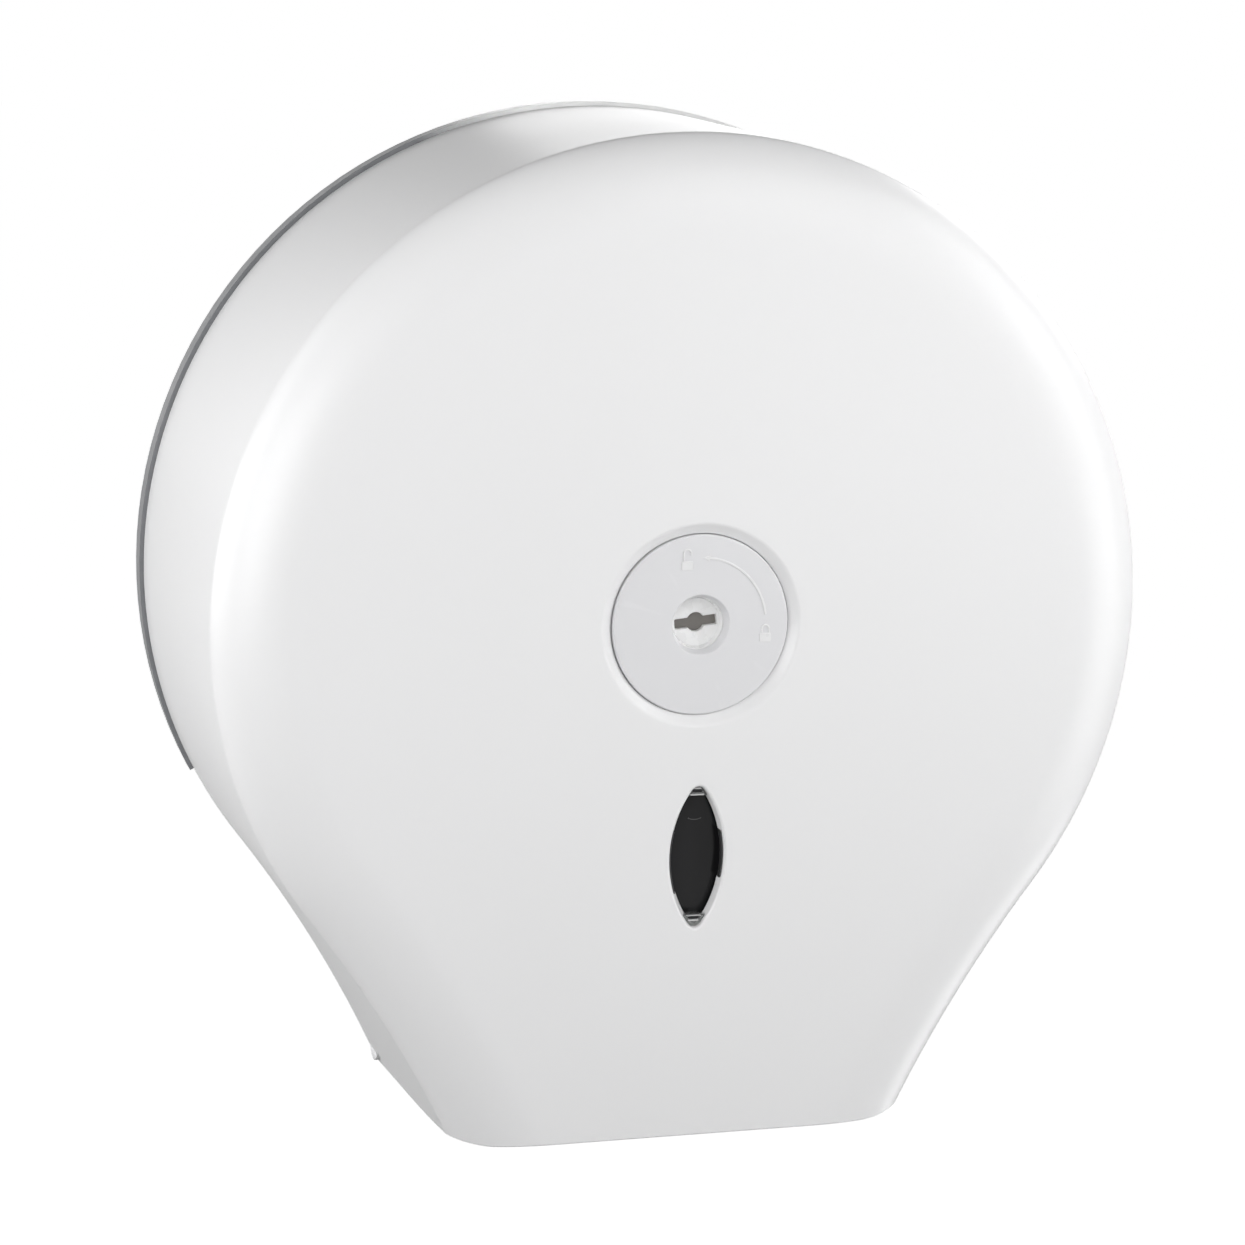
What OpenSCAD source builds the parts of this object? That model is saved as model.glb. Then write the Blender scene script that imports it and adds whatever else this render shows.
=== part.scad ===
// Wall dispenser for one jumbo roll of toilet tissue, with a round body, a narrower
// neck at the paper outlet, and a cover that is locked in the middle and hinged at
// the bottom.
//
// Millimetres. The wall is the plane y = 0 and the part stands out of it towards -Y.
// +Z is up. The origin is on the wall, behind the axis of the roll spindle.
// Most modules are drawn in a "depth frame": x is X, y is Z, and z is the distance
// from the wall. from_wall() turns that frame into the part's own.

/* [Cover] */
// Radius of the cover's outline at its rear edge
cover_r = 136; // [130:1:142]
// Distance from the wall to the flat front face
cover_depth = 122; // [118:1:126]
// Thickness of the cover's wall
cover_wall = 2.5; // [2:0.1:3]
// How much smaller the outline is at the front crease than at the rear edge
side_draft = 3.9; // [2.5:0.1:5]
// Width of the curved band between the crease and the flat face
band_w = 24.4; // [20:0.2:28]
// How far the crease lies behind the flat face
band_drop = 9.6; // [8:0.2:11]

/* [Neck] */
// Angle from straight down at which the neck leaves the circle
neck_angle = 52.9; // [51:0.1:55]
// Radius of the hollow flank of the neck
neck_r = 379; // [350:1:410]
// Drop of the cover's lower edge below the spindle axis, at its rear edge
outlet_rear = 156.1; // [155:0.1:158]
// How much higher the lower edge lies at the front face
outlet_rise = 10.8; // [9:0.1:13]

/* [Back plate] */
// Thickness of the back plate
plate_t = 3; // [2.5:0.1:3.5]
// Depth of the rim that shows behind the cover
rim_t = 7.7; // [7:0.1:8.5]
// How far the rim stands out past the cover
rim_proud = 1.2; // [0.8:0.1:2]
// Half of the angle that the rim leaves open at the neck
rim_open = 63; // [60:1:66]
// Width of the lip that reaches into the cover
lip_w = 2.6; // [2:0.1:3.2]
// How far the lip reaches past the rim
lip_reach = 4.3; // [3:0.1:5]
// Thickness of the stiffening ribs
rib_t = 2; // [1.6:0.1:2.6]
// Height of the stiffening ribs above the plate
rib_h = 4; // [3:0.1:4.6]
// How far the back plate ends above the cover's lower edge
plate_short = 4.6; // [4:0.1:6]

/* [Wall screws] */
// Distance between the wall screw holes, sideways
wall_screw_x = 150; // [140:1:156]
// Distance between the wall screw holes, up and down
wall_screw_z = 130; // [120:1:136]
// Radius of a wall screw hole
wall_hole_r = 2.75; // [2.2:0.05:3.2]
// Radius of the boss round a wall screw hole
wall_boss_r = 8; // [6:0.5:10]
// Height of that boss above the plate
wall_boss_h = 3; // [2:0.1:4]

/* [Hinge] */
// Distance of the hinge axis from the wall
hinge_depth = 17; // [16.5:0.1:18]
// Height of the hinge axis above the cover's lower edge
hinge_up = 9.1; // [8.5:0.1:10]
// Radius of a hinge pin
pin_r = 2; // [1.6:0.1:2.3]
// Length of a hinge pin
pin_len = 11; // [10:0.1:11.5]
// Radius of the bosses that turn on the pins
knuckle_r = 6; // [5:0.1:6.5]
// Gap between the outer face of an ear and the narrowest part of the neck
ear_gap = 0.4; // [0.3:0.1:1]
// Thickness of an ear
ear_t = 4.6; // [4:0.1:5.5]

/* [Spindle] */
// Outer radius of the fixed spindle
spindle_r = 17; // [16.5:0.1:18]
// Thickness of the spindle's wall
spindle_wall = 2.5; // [2:0.1:2.5]
// Distance from the front end of the spindle to the cover's face
lock_room = 33.4; // [33:0.1:36]
// Radius of the spindle's foot
foot_r = 34; // [32:0.5:38]
// Thickness of the spindle's foot
foot_t = 5.4; // [5:0.1:6]
// Radius of the circle of the foot's screws
foot_screw_ring = 27; // [24:0.5:28]
// Thickness of the cap that keeps the sleeve on the spindle
cap_t = 4; // [3.4:0.1:4.2]
// Radius of that cap
cap_r = 18.8; // [18.4:0.1:20]

/* [Roll carrier] */
// Outer radius of the sleeve's ribs, for a narrow core
sleeve_r = 21.5; // [21:0.1:22.5]
// Thickness of the sleeve's wall
sleeve_wall = 2.4; // [2:0.1:2.8]
// Radius of the flange that stops the roll
stop_r = 33; // [31:0.5:40]
// Thickness of that flange
stop_t = 2.5; // [2:0.1:3]
// Outer radius of the core adapter, for a wide core
adapter_r = 28; // [26.5:0.5:30]
// How far the core adapter ends behind the front end of the spindle
adapter_short = 7.3; // [4:0.1:12]
// Thickness of the core adapter's walls
adapter_wall = 2; // [1.6:0.1:2]

/* [Lock] */
// Radius of the lock's face disc
disc_r = 25; // [24:0.1:26]
// Thickness of the face disc
disc_t = 3; // [2.6:0.1:3.4]
// Depth of the disc's face below the cover's face
disc_sunk = 1; // [0.6:0.1:1.4]
// Width of the sloping edge of the dish round the disc
dish_w = 2.4; // [1.5:0.1:3.5]
// Radius of the opening in the face disc at its face
bowl_r = 8.7; // [8.2:0.1:9.2]
// Radius of the opening in the face disc at its back
throat_r = 6.9; // [6.5:0.1:7.4]
// Radius of the key barrel
barrel_r = 9; // [8.6:0.1:9.6]
// Radius of the bore for the sprung plunger
plunger_bore_r = 6.5; // [6.3:0.1:6.9]
// Radius of the round middle of the keyhole
key_r = 2.65; // [2.2:0.05:3]
// Half length of the keyhole, from its middle to the end of a wing
key_reach = 6; // [5.2:0.1:6.2]
// Height of the keyhole's wings
key_h = 2.9; // [2:0.1:3.4]
// Length of the plunger's travel when a key pushes it
plunger_travel = 3; // [2:0.1:3.4]
// Radius of the lock housing's tube
housing_r = 12; // [11.6:0.1:12.6]
// Half length of the cam's head
cam_long = 7; // [6.6:0.1:7.4]
// Half width of the cam's head
cam_short = 3.5; // [3.3:0.1:3.7]

/* [View window] */
// Height of the leaf-shaped window
window_h = 40; // [34:1:44]
// Width of the leaf-shaped window
window_w = 15.7; // [13:0.1:18]
// Drop of the window's middle below the spindle axis
window_drop = 65; // [64:0.5:70]

/* [Tear bars] */
// Distance from the cover's rear edge to the start of a tear bar
bar_from = 24; // [20:1:34]
// Distance from the end of a tear bar to the crease
bar_to = 8.4; // [6:0.1:14]
// Height of a tear bar, teeth included
bar_h = 12; // [11:0.5:14]
// Thickness of a tear bar
bar_t = 1; // [0.8:0.1:1.4]
// Distance from tooth to tooth
tooth_pitch = 3; // [2:0.25:4]
// Depth of a tooth
tooth_h = 2; // [1.2:0.1:2.5]

/* [Hidden] */
$fn = 120;

// Clearances
run_gap = 0.06;     // radial, of everything that turns or slides in a bore
fix_gap = 0.02;     // radial, of pins and screws held in their holes
seat_gap = 0.1;     // between faces that lie on each other
part_gap = 0.3;     // between bodies that move apart
over = 1;           // how far a cut runs past a face
sink = 0.5;         // how far a raised shape is drawn into what it stands on
blind = 1;          // what a screw hole leaves of the wall it ends in

// Colours
white_abs = [0.95, 0.95, 0.94];
grey_abs = [0.45, 0.46, 0.47];
light_grey = [0.82, 0.82, 0.83];
dark_grey = [0.3, 0.29, 0.28];
smoked = [0.25, 0.25, 0.26, 0.6];
steel = [0.72, 0.73, 0.75];

// Cover: depths, and the circle whose arc makes the band
rear_edge = rim_t + part_gap;
crease_depth = cover_depth - band_drop;
band_slope = 2 * atan(band_drop / band_w);
band_r = band_w / sin(band_slope);
crease_r = cover_r - side_draft;
flat_r = crease_r - band_w;
flank_x = (cover_r + neck_r) * sin(neck_angle);
flank_z = -(cover_r + neck_r) * cos(neck_angle);
reach = outlet_rear + 20;       // how far down the neck is drawn before it is cut
cavity_reach = reach + 5;       // the cavity is drawn further, so it opens the bottom
band_steps = 12;                // flat bands that stand for the curve of the band
skin_step = 0.03;               // how far the neck's skin stands clear of the circle's
outlet_slope = atan(outlet_rise / (cover_depth - rear_edge));
face_in = cover_depth - cover_wall;

// How far the outline at a given depth lies inside the one at the rear edge
function inset(depth) = side_draft * (depth - rear_edge) / (crease_depth - rear_edge);
// Height of the cover's lower edge at a given depth
function outlet_z(depth) = -outlet_rear + (depth - rear_edge) * tan(outlet_slope);

// Back plate
plate_gap = 0.9;                         // between the plate's edge and the cover
plate_inset = cover_wall + plate_gap;
lip_gap = 0.7;                           // between the lip and the cover round it
lip_r = cover_r - cover_wall - lip_gap;
lip_h = rim_t + lip_reach;
plate_end_z = -outlet_rear + plate_short;
neck_rib_end = plate_end_z + 6;

// Spindle and carrier lengths
spindle_end = cover_depth - lock_room;

// Screws: shank and head radii and head heights
small_screw = [1.3, 2.4, 1.6];
foot_screw = [1.75, 3.6, 2.2];

// Spindle
spindle_bore = spindle_r - spindle_wall;
foot_front = plate_t + foot_t;
inner_wall_t = 8;                        // cross wall that carries the catch clip
inner_wall_front = spindle_end - 18.6;
clip_hold = inner_wall_t - 2;            // length of the clip's screw in that wall
cap_front = spindle_end + cap_t;
cap_screw_ring = spindle_bore - small_screw[0];
cap_screw_at = 40;                       // angle of the cap's screws above level
cap_screw_boss = 3;
cap_slot_r = 10;
cap_slot_drop = 4.6;                     // the cam dips this far as the cover opens
cap_screw_hold = 14;

// Roll carrier
sleeve_rear = foot_front + part_gap;
sleeve_front = spindle_end - part_gap;
sleeve_bore = spindle_r + run_gap;
sleeve_core = sleeve_bore + sleeve_wall;
sleeve_rib_t = 2.5;
sleeve_rib_end = 1;                      // the ribs end this far behind the sleeve's end
carrier_ribs = 6;
adapter_rear = sleeve_rear + stop_t + seat_gap;
adapter_bore = sleeve_r + seat_gap;
adapter_len = spindle_end - adapter_short - adapter_rear;
adapter_chamfer = 2;

// Lock, measured back from the cover's face
disc_front = cover_depth - disc_sunk;
seat_front = disc_front - disc_t;
seat_t = 2.8;                            // thickness of the cover's seat for the disc
seat_rim = 1.6;                          // how far that seat runs out past the dish
seat_rear = seat_front - seat_t;
seat_r = disc_r + dish_w + seat_rim;
pocket_r = disc_r + part_gap;
dish_drop = disc_sunk + 0.7;             // depth of the dish where it meets the disc
housing_front = seat_front - seat_gap;
housing_wall_t = 3;
barrel_face_t = 3.4;
plunger_t = 3;
spigot_h = 1.2;                          // the plunger's boss inside the spring
spring_room = 1.9;                       // what the spring keeps when it is pushed in
plug_h = 0.8;                            // the shaft's plug that centres the barrel
shaft_flange_t = 3.3;
housing_len = barrel_face_t + plunger_t + spigot_h + plunger_travel + spring_room
    + plug_h + shaft_flange_t + housing_wall_t + 4 * seat_gap;
housing_flange_t = 2.9;
housing_flange_front = seat_rear - seat_gap;
housing_flange_rear = housing_flange_front - housing_flange_t;
housing_flange_r = disc_r - 1;
housing_rear = housing_front - housing_len;
post_ring = 19;                          // radius of the circle of the disc's posts
post_r = 3;
post_angles = [30, 150, 270];
post_pilot = 4.2;                        // depth of a post's screw hole past the seat
barrel_bore = barrel_r + run_gap;
barrel_front = housing_front - seat_gap;
journal_r = 5.5;
shaft_rear = housing_rear + housing_wall_t + seat_gap;
shaft_flange_front = shaft_rear + shaft_flange_t;
barrel_rear = shaft_flange_front + seat_gap;
plug_top = barrel_rear + plug_h;
shaft_hole_end = shaft_rear + 1;
plunger_front = barrel_front - barrel_face_t - seat_gap;
plunger_r = plunger_bore_r - run_gap;
spring_wire = 0.45;                      // radius of the wire
spring_r = plunger_bore_r - 1.6;
spring_turns = 3.5;
spring_gap = 0.15;                       // between the spring's ends and their seats
spring_low = plug_top + spring_wire + spring_gap;
spring_high = plunger_front - plunger_t - spring_wire - spring_gap;
spigot_r = spring_r - 2 * spring_wire;
tenon = 5;                               // side of the shaft's square end
tenon_end = housing_rear - 4.5;
cam_collar_r = 4.8;
cam_collar_rear = tenon_end - 1;
cam_collar_front = housing_rear - part_gap;
cam_neck_r = 3.4;
cam_head_t = 5;
cam_head_front = spindle_end + 0.4;
cam_head_rear = cam_head_front - cam_head_t;
cam_nose = 2.4;                          // length of the cam's tapered nose
cam_nose_in = 2;                         // how much its end is smaller all round
cam_screw_sink = cam_head_rear + 2;

// Signs on the face disc: height, line width, and radius of the quarter-turn arrow
mark_h = 0.25;
mark_w = 0.45;
mark_ring = 18.5;
mark_from = 8;                           // angles between which the arrow runs
mark_to = 84;
arrow_w = 0.9;
arrow_len = 1.9;
open_at = [-4.4, mark_ring - arrow_w];   // the two padlock signs
shut_at = [mark_ring, -2.6];
lock_w = 3.2;
lock_h = 2.4;
shackle_r = 1.25;
lift_open = 2.2;
lift_shut = 1.2;
stub = 0.6;                              // what shows of an open shackle's free leg

// Catch clip
clip_t = 0.6;
clip_h = 12;
clip_mid = -2;
leg_x = cam_long + 1.5;
lip_x = cam_short + 1.7;
clip_foot = inner_wall_front + seat_gap;
lip_low = cam_head_front + 0.4;
clip_bend = lip_low - 0.7;               // the legs lean in from here,
clip_knee = lip_low + 1.1;               // are closest here,
clip_tip = lip_low + 3;                  // and flare out to here
clip_tip_x = leg_x - 1.1;

// Hinge. The ears stand inside the neck, clear of its walls as they swing past.
hinge_drop = outlet_rear - hinge_up;
neck_in = flank_x - sqrt(pow(neck_r + cover_wall, 2) - pow(outlet_rear + flank_z, 2));
ear_x = neck_in - ear_gap;
knuckle_x = ear_x + 0.4;
pin_out = ear_x + 4.2;
ear_top = 11;                            // height of an ear's root above the axis
ear_round = knuckle_r - 0.5;

// Window: a leaf between two arcs, and the lens behind it
leaf_r = (window_h * window_h + window_w * window_w) / (4 * window_w);
leaf_gap = 0.15;
lens_sunk = 1.2;
lens_flange_t = 1.5;
lens_flange_w = window_w + 8;
lens_flange_h = window_h + 12;
lens_rear = face_in - lens_flange_t - seat_gap;
stake_r = 1.25;
stake_head_r = 2.1;
stake_head_t = 1;
stake_at = window_h / 2 + 3;
stake_head = lens_rear - seat_gap;       // depth of the bearing face of a stake's head

// Tear bars, in the frame of the neck's flank
bar_len = crease_depth - bar_to - rear_edge - bar_from;
bar_depth = rear_edge + bar_from + bar_len / 2;
bar_z = outlet_z(bar_depth);
flank_in = neck_r + inset(bar_depth) + cover_wall;
flank_tilt = asin((bar_z - flank_z) / flank_in);
bar_x = flank_x - flank_in * cos(flank_tilt);
draft_tilt = atan(side_draft / (crease_depth - rear_edge));
bar_rise = atan(tan(outlet_slope) / cos(flank_tilt));
bar_off = 1.2;                           // the bar stands this far off the flank
bar_proud = 0.4;                         // the teeth reach this far below the edge
bar_screw_x = bar_len / 2 - 8;
bar_screw_y = 6.5;
bar_boss_r = 3;
bar_screw_hold = 1;                      // how deep a bar screw goes into the wall

// ---- Frames and shared shapes ----

module from_wall() {
    rotate([90, 0, 0]) children();
}

module both_sides() {
    for (side = [0, 1]) mirror([side, 0, 0]) children();
}

// A round bar along the depth axis, between two distances from the wall
module rod(r, near, far) {
    translate([0, 0, near]) cylinder(r = r, h = far - near);
}

// Half section of the cover, from the axis out to its side, from a rear depth to the
// face. shrink moves every surface inwards.
module cover_section(shrink, rear) {
    arc_r = band_r - shrink;
    side_in = crease_r - shrink - flat_r;
    bend = asin(side_in / arc_r);
    polygon(concat(
        [[0, rear], [cover_r - inset(rear) - shrink, rear]],
        [for (i = [0:band_steps]) let (a = bend * (1 - i / band_steps))
            [flat_r + arc_r * sin(a), cover_depth - band_r + arc_r * cos(a)]],
        [[0, cover_depth - shrink]]));
}

// The same section, seen from the centre of the neck's flank and moved out a hair, so
// that the neck's skin lies clear of the circle's where the two would only touch
module flank_section(shrink, rear) {
    translate([cover_r + neck_r - skin_step, 0]) mirror([1, 0]) {
        cover_section(shrink, rear);
        translate([-over, rear]) square([2 * over, cover_depth - shrink - rear]);
    }
}

// Outline of the cover filled from a rear depth to the face, the neck drawn down to low
module pear(shrink, rear, low) {
    rotate_extrude() cover_section(shrink, rear);
    both_sides() intersection() {
        translate([flank_x, flank_z, 0]) rotate([0, 0, 90])
            rotate_extrude(angle = 90) flank_section(shrink, rear);
        half_wedge(rear, cover_depth, low);
    }
}

// The right half of the sector between the two lines where neck and circle meet
module half_wedge(near, far, low) {
    tip = cover_r * 1.1;
    translate([0, 0, near - over]) linear_extrude(far - near + 2 * over)
        polygon([[0, 0], [tip * sin(neck_angle), -tip * cos(neck_angle)],
                 [tip * sin(neck_angle), -low], [0, -low]]);
}

// A flat slab with the cover's rear outline, moved inwards by shrink
module slab(shrink, near, far) {
    rod(cover_r - shrink, near, far);
    both_sides() intersection() {
        translate([flank_x, flank_z, 0]) rotate([0, 0, 90]) rotate_extrude(angle = 90)
            translate([neck_r + shrink - skin_step, near])
                square([cover_r - shrink + over, far - near]);
        half_wedge(near, far, reach);
    }
}

// Leaf between two arcs, moved inwards by shrink
module leaf(shrink, near, far) {
    translate([0, -window_drop, 0]) intersection_for (side = [-1, 1])
        translate([side * (leaf_r - window_w / 2), 0, 0])
            rod(leaf_r - shrink, near, far);
}

// A screw that points towards +z, with its head's bearing face at z = 0
module pan_screw(size, hold) {
    rod(size[0], 0, hold);
    rod(size[1], -size[2], 0);
}

// Frame on the inside of the right flank: x runs to the front along the lower edge,
// y runs up the flank and z points into the dispenser
module on_flank() {
    translate([bar_x, bar_z, bar_depth]) rotate([0, 0, -flank_tilt])
        rotate([0, -90, 0]) rotate([0, -draft_tilt, 0]) rotate([0, 0, bar_rise])
            children();
}

module at_bar_screws() {
    for (end = [-1, 1]) translate([end * bar_screw_x, bar_screw_y, 0]) children();
}

module at_posts() {
    for (a = post_angles) rotate([0, 0, a]) translate([post_ring, 0, 0]) children();
}

module at_foot_screws() {
    for (a = [45:90:315]) rotate([0, 0, a]) translate([foot_screw_ring, 0, 0]) children();
}

module at_cap_screws() {
    for (a = [cap_screw_at, 180 - cap_screw_at]) rotate([0, 0, a])
        translate([cap_screw_ring, 0, 0]) children();
}

module at_wall_screws() {
    for (x = [-1, 1], z = [-1, 1])
        translate([x * wall_screw_x / 2, z * wall_screw_z / 2, 0]) children();
}

module along_hinge(near, far, r) {
    translate([near, -hinge_drop, hinge_depth]) rotate([0, 90, 0])
        cylinder(r = r, h = far - near);
}

// ---- Fixed to the wall ----

module back_plate() color(grey_abs) from_wall() difference() {
    union() {
        difference() {
            slab(plate_inset, 0, plate_t);
            translate([-cover_r, -reach - over, -over])
                cube([2 * cover_r, reach + over + plate_end_z, plate_t + 2 * over]);
        }
        rim();
        plate_ribs();
        at_wall_screws() rod(wall_boss_r, 0, plate_t + wall_boss_h);
        both_sides() ear();
    }
    at_wall_screws() rod(wall_hole_r, -over, plate_t + wall_boss_h + over);
    at_foot_screws() {
        rod(foot_screw[0] + fix_gap, -over, plate_t + over);
        translate([0, 0, -seat_gap])
            cylinder(r1 = foot_screw[1] + 2 * seat_gap, r2 = foot_screw[0] + fix_gap,
                     h = foot_screw[2]);
    }
    both_sides() along_hinge(ear_x - ear_t - over, ear_x + over, pin_r + fix_gap);
}

module rim() {
    rotate([0, 0, rim_open - 90]) rotate_extrude(angle = 360 - 2 * rim_open)
        polygon([[lip_r - lip_w, 0], [cover_r + rim_proud, 0],
                 [cover_r + rim_proud, rim_t], [lip_r, rim_t], [lip_r, lip_h],
                 [lip_r - lip_w, lip_h]]);
}

module plate_ribs() {
    for (a = [0:60:300]) rotate([0, 0, a])
        translate([foot_r + over, -rib_t / 2, plate_t - sink])
            cube([lip_r - lip_w - foot_r, rib_t, rib_h + sink]);
    translate([-rib_t / 2, neck_rib_end, plate_t - sink])
        cube([rib_t, -neck_rib_end - foot_r - over, rib_h + sink]);
}

module ear() {
    tall = hinge_depth - plate_t + sink;
    translate([ear_x - ear_t, -hinge_drop - ear_round + over, plate_t - sink])
        cube([ear_t, ear_round + ear_top - over, tall]);
    along_hinge(ear_x - ear_t, ear_x, ear_round);
}

module spindle() color(grey_abs) from_wall() difference() {
    union() {
        rod(foot_r, plate_t, foot_front);
        rod(spindle_r, plate_t, spindle_end);
    }
    rod(spindle_bore, plate_t - over, inner_wall_front - inner_wall_t);
    difference() {
        rod(spindle_bore, inner_wall_front, spindle_end + over);
        at_cap_screws() rod(cap_screw_boss, inner_wall_front - over, spindle_end + 2 * over);
    }
    at_cap_screws() rod(small_screw[0] + fix_gap, spindle_end - cap_screw_hold,
                        spindle_end + over);
    at_foot_screws() rod(foot_screw[0] + fix_gap, plate_t - over, foot_front - blind);
    translate([0, clip_mid, 0]) rod(small_screw[0] + fix_gap,
                                    inner_wall_front - inner_wall_t + blind,
                                    inner_wall_front + over);
}

module spindle_screws() color(steel) from_wall() at_foot_screws() {
    rod(foot_screw[0], seat_gap, foot_front - blind - part_gap);
    translate([0, 0, seat_gap])
        cylinder(r1 = foot_screw[1], r2 = foot_screw[0], h = foot_screw[2] - 2 * seat_gap);
}

module spindle_cap() color(white_abs) from_wall() difference() {
    rod(cap_r, spindle_end, cap_front);
    rod(cap_slot_r, spindle_end - over, cap_front + over);
    translate([0, -cap_slot_drop, 0]) rod(cap_slot_r, spindle_end - over, cap_front + over);
    translate([-cap_slot_r, -cap_slot_drop, spindle_end - over])
        cube([2 * cap_slot_r, cap_slot_drop, cap_t + 2 * over]);
    at_cap_screws() {
        rod(small_screw[0] + seat_gap, spindle_end - over, cap_front + over);
        rod(small_screw[1] + seat_gap, cap_front - small_screw[2], cap_front + over);
    }
}

module cap_screws() color(steel) from_wall() at_cap_screws()
    translate([0, 0, cap_front - small_screw[2]]) mirror([0, 0, 1])
        pan_screw(small_screw, cap_screw_hold - part_gap + cap_t - small_screw[2]);

// One half of the clip's strip seen from above, from the middle of its foot to a tip
function clip_path() = let (
    out = leg_x + clip_t / 2, in = leg_x - clip_t / 2)
    [[out, clip_foot], [out, clip_bend], [lip_x + clip_t, clip_knee],
     [clip_tip_x + clip_t, clip_tip], [clip_tip_x, clip_tip], [lip_x, clip_knee],
     [in, clip_bend], [in, clip_foot + clip_t]];

module catch_clip() color(steel) difference() {
    half = clip_path();
    last = len(half) - 1;
    translate([0, 0, clip_mid - clip_h / 2]) linear_extrude(clip_h) mirror([0, 1])
        polygon(concat(half, [for (i = [last:-1:0]) [-half[i][0], half[i][1]]]));
    from_wall() translate([0, clip_mid, 0])
        rod(small_screw[0] + seat_gap, clip_foot - over, clip_foot + clip_t + over);
}

module clip_screw() color(steel) from_wall()
    translate([0, clip_mid, clip_foot + clip_t + fix_gap]) mirror([0, 0, 1])
        pan_screw(small_screw, clip_hold);

// ---- Turning with the roll ----

module roll_sleeve() color(white_abs) from_wall() difference() {
    union() {
        rod(sleeve_core, sleeve_rear, sleeve_front);
        rod(stop_r, sleeve_rear, sleeve_rear + stop_t);
        for (k = [0:carrier_ribs - 1]) rotate([0, 0, (k + 0.5) * 360 / carrier_ribs])
            intersection() {
                rod(sleeve_r, sleeve_rear + sink, sleeve_front - sleeve_rib_end);
                translate([(sleeve_bore + sleeve_core) / 2, -sleeve_rib_t / 2, sleeve_rear])
                    cube([sleeve_r, sleeve_rib_t, sleeve_front - sleeve_rear]);
            }
    }
    rod(sleeve_bore, sleeve_rear - over, sleeve_front + over);
}

module core_adapter() color(light_grey) from_wall() translate([0, 0, adapter_rear]) {
    rotate_extrude() polygon([
        [adapter_r - adapter_wall, 0], [adapter_r, 0],
        [adapter_r, adapter_len - adapter_chamfer],
        [adapter_r - adapter_chamfer, adapter_len],
        [adapter_bore, adapter_len], [adapter_bore, 0],
        [adapter_bore + adapter_wall, 0],
        [adapter_bore + adapter_wall, adapter_len - adapter_wall],
        [adapter_r - adapter_wall, adapter_len - adapter_wall]]);
    for (k = [0:carrier_ribs - 1]) rotate([0, 0, (k + 0.5) * 360 / carrier_ribs])
        translate([adapter_bore + adapter_wall / 2, -adapter_wall / 2, 0])
            cube([adapter_r - adapter_bore - adapter_wall, adapter_wall,
                  adapter_len - adapter_wall / 2]);
}

// ---- Cover ----

module front_cover() color(white_abs) from_wall() difference() {
    difference() {
        pear(0, rear_edge, reach);
        difference() {
            pear(cover_wall, rear_edge - over, cavity_reach);
            rod(seat_r, seat_rear, cover_depth);
            both_sides() {
                along_hinge(knuckle_x, cover_r, knuckle_r);
                on_flank() at_bar_screws() rod(bar_boss_r, -cover_wall, bar_off);
            }
            window_stakes();
        }
    }
    outlet_cut();
    rotate_extrude() polygon([[0, seat_front], [pocket_r, seat_front],
                              [pocket_r, cover_depth - dish_drop],
                              [disc_r + dish_w, cover_depth],
                              [disc_r + dish_w, cover_depth + over],
                              [0, cover_depth + over]]);
    rod(housing_r + part_gap / 2, seat_rear - over, seat_front + over);
    at_posts() rod(post_r + part_gap / 2, seat_rear - over, seat_front + over);
    leaf(0, face_in - over, cover_depth + over);
    both_sides() {
        along_hinge(knuckle_x - over, pin_out + part_gap, pin_r + run_gap);
        on_flank() at_bar_screws()
            rod(small_screw[0] + fix_gap, -bar_screw_hold, bar_off + over);
    }
}

// Everything below the cover's slanting lower edge
module outlet_cut() {
    translate([0, -outlet_rear, rear_edge]) rotate([90 - outlet_slope, 0, 0])
        rotate([-90, 0, 0]) translate([-cover_r, -reach, -cover_r])
            cube([2 * cover_r, reach, 3 * cover_r]);
}

// Studs that hold the lens, with heads melted over it
module window_stakes() {
    for (end = [-1, 1]) translate([0, -window_drop + end * stake_at, 0]) {
        rod(stake_r, stake_head - sink, cover_depth);
        rod(stake_head_r, stake_head - stake_head_t, stake_head);
    }
}

module view_window() color(smoked) from_wall() difference() {
    union() {
        leaf(leaf_gap, lens_rear + sink, cover_depth - lens_sunk);
        translate([0, -window_drop, lens_rear])
            linear_extrude(lens_flange_t) lens_outline();
    }
    for (end = [-1, 1]) translate([0, -window_drop + end * stake_at, 0])
        rod(stake_r + seat_gap, lens_rear - over, face_in + over);
}

module lens_outline() {
    straight = lens_flange_h - lens_flange_w;
    translate([-lens_flange_w / 2, -straight / 2]) square([lens_flange_w, straight]);
    for (end = [-1, 1]) translate([0, end * straight / 2]) circle(d = lens_flange_w);
}

// ---- Lock ----

module lock_face_disc() color(light_grey) from_wall() {
    difference() {
        union() {
            rod(disc_r, seat_front, disc_front);
            at_posts() rod(post_r, seat_rear + seat_gap, seat_front + sink);
        }
        translate([0, 0, seat_front])
            cylinder(r1 = throat_r, r2 = bowl_r, h = disc_t);
        at_posts() rod(small_screw[0] + fix_gap, seat_rear - over,
                       seat_rear + post_pilot);
    }
    translate([0, 0, disc_front - sink]) linear_extrude(mark_h + sink) lock_marks();
}

// A quarter-turn arrow from a closed padlock on the right to an open one at the top
module lock_marks() {
    far = 2 * mark_ring;
    intersection() {
        ring_mark(mark_ring);
        polygon([[0, 0], far * [cos(mark_from), sin(mark_from)], [far, far],
                 far * [cos(mark_to), sin(mark_to)]]);
    }
    rotate(mark_to) translate([mark_ring, 0])
        polygon([[-arrow_w, 0], [arrow_w, 0], [0, arrow_len]]);
    translate(open_at) padlock(lift_open, stub);
    translate(shut_at) padlock(lift_shut, lift_shut);
}

module ring_mark(r) {
    difference() {
        circle(r = r + mark_w / 2);
        circle(r = r - mark_w / 2);
    }
}

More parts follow.
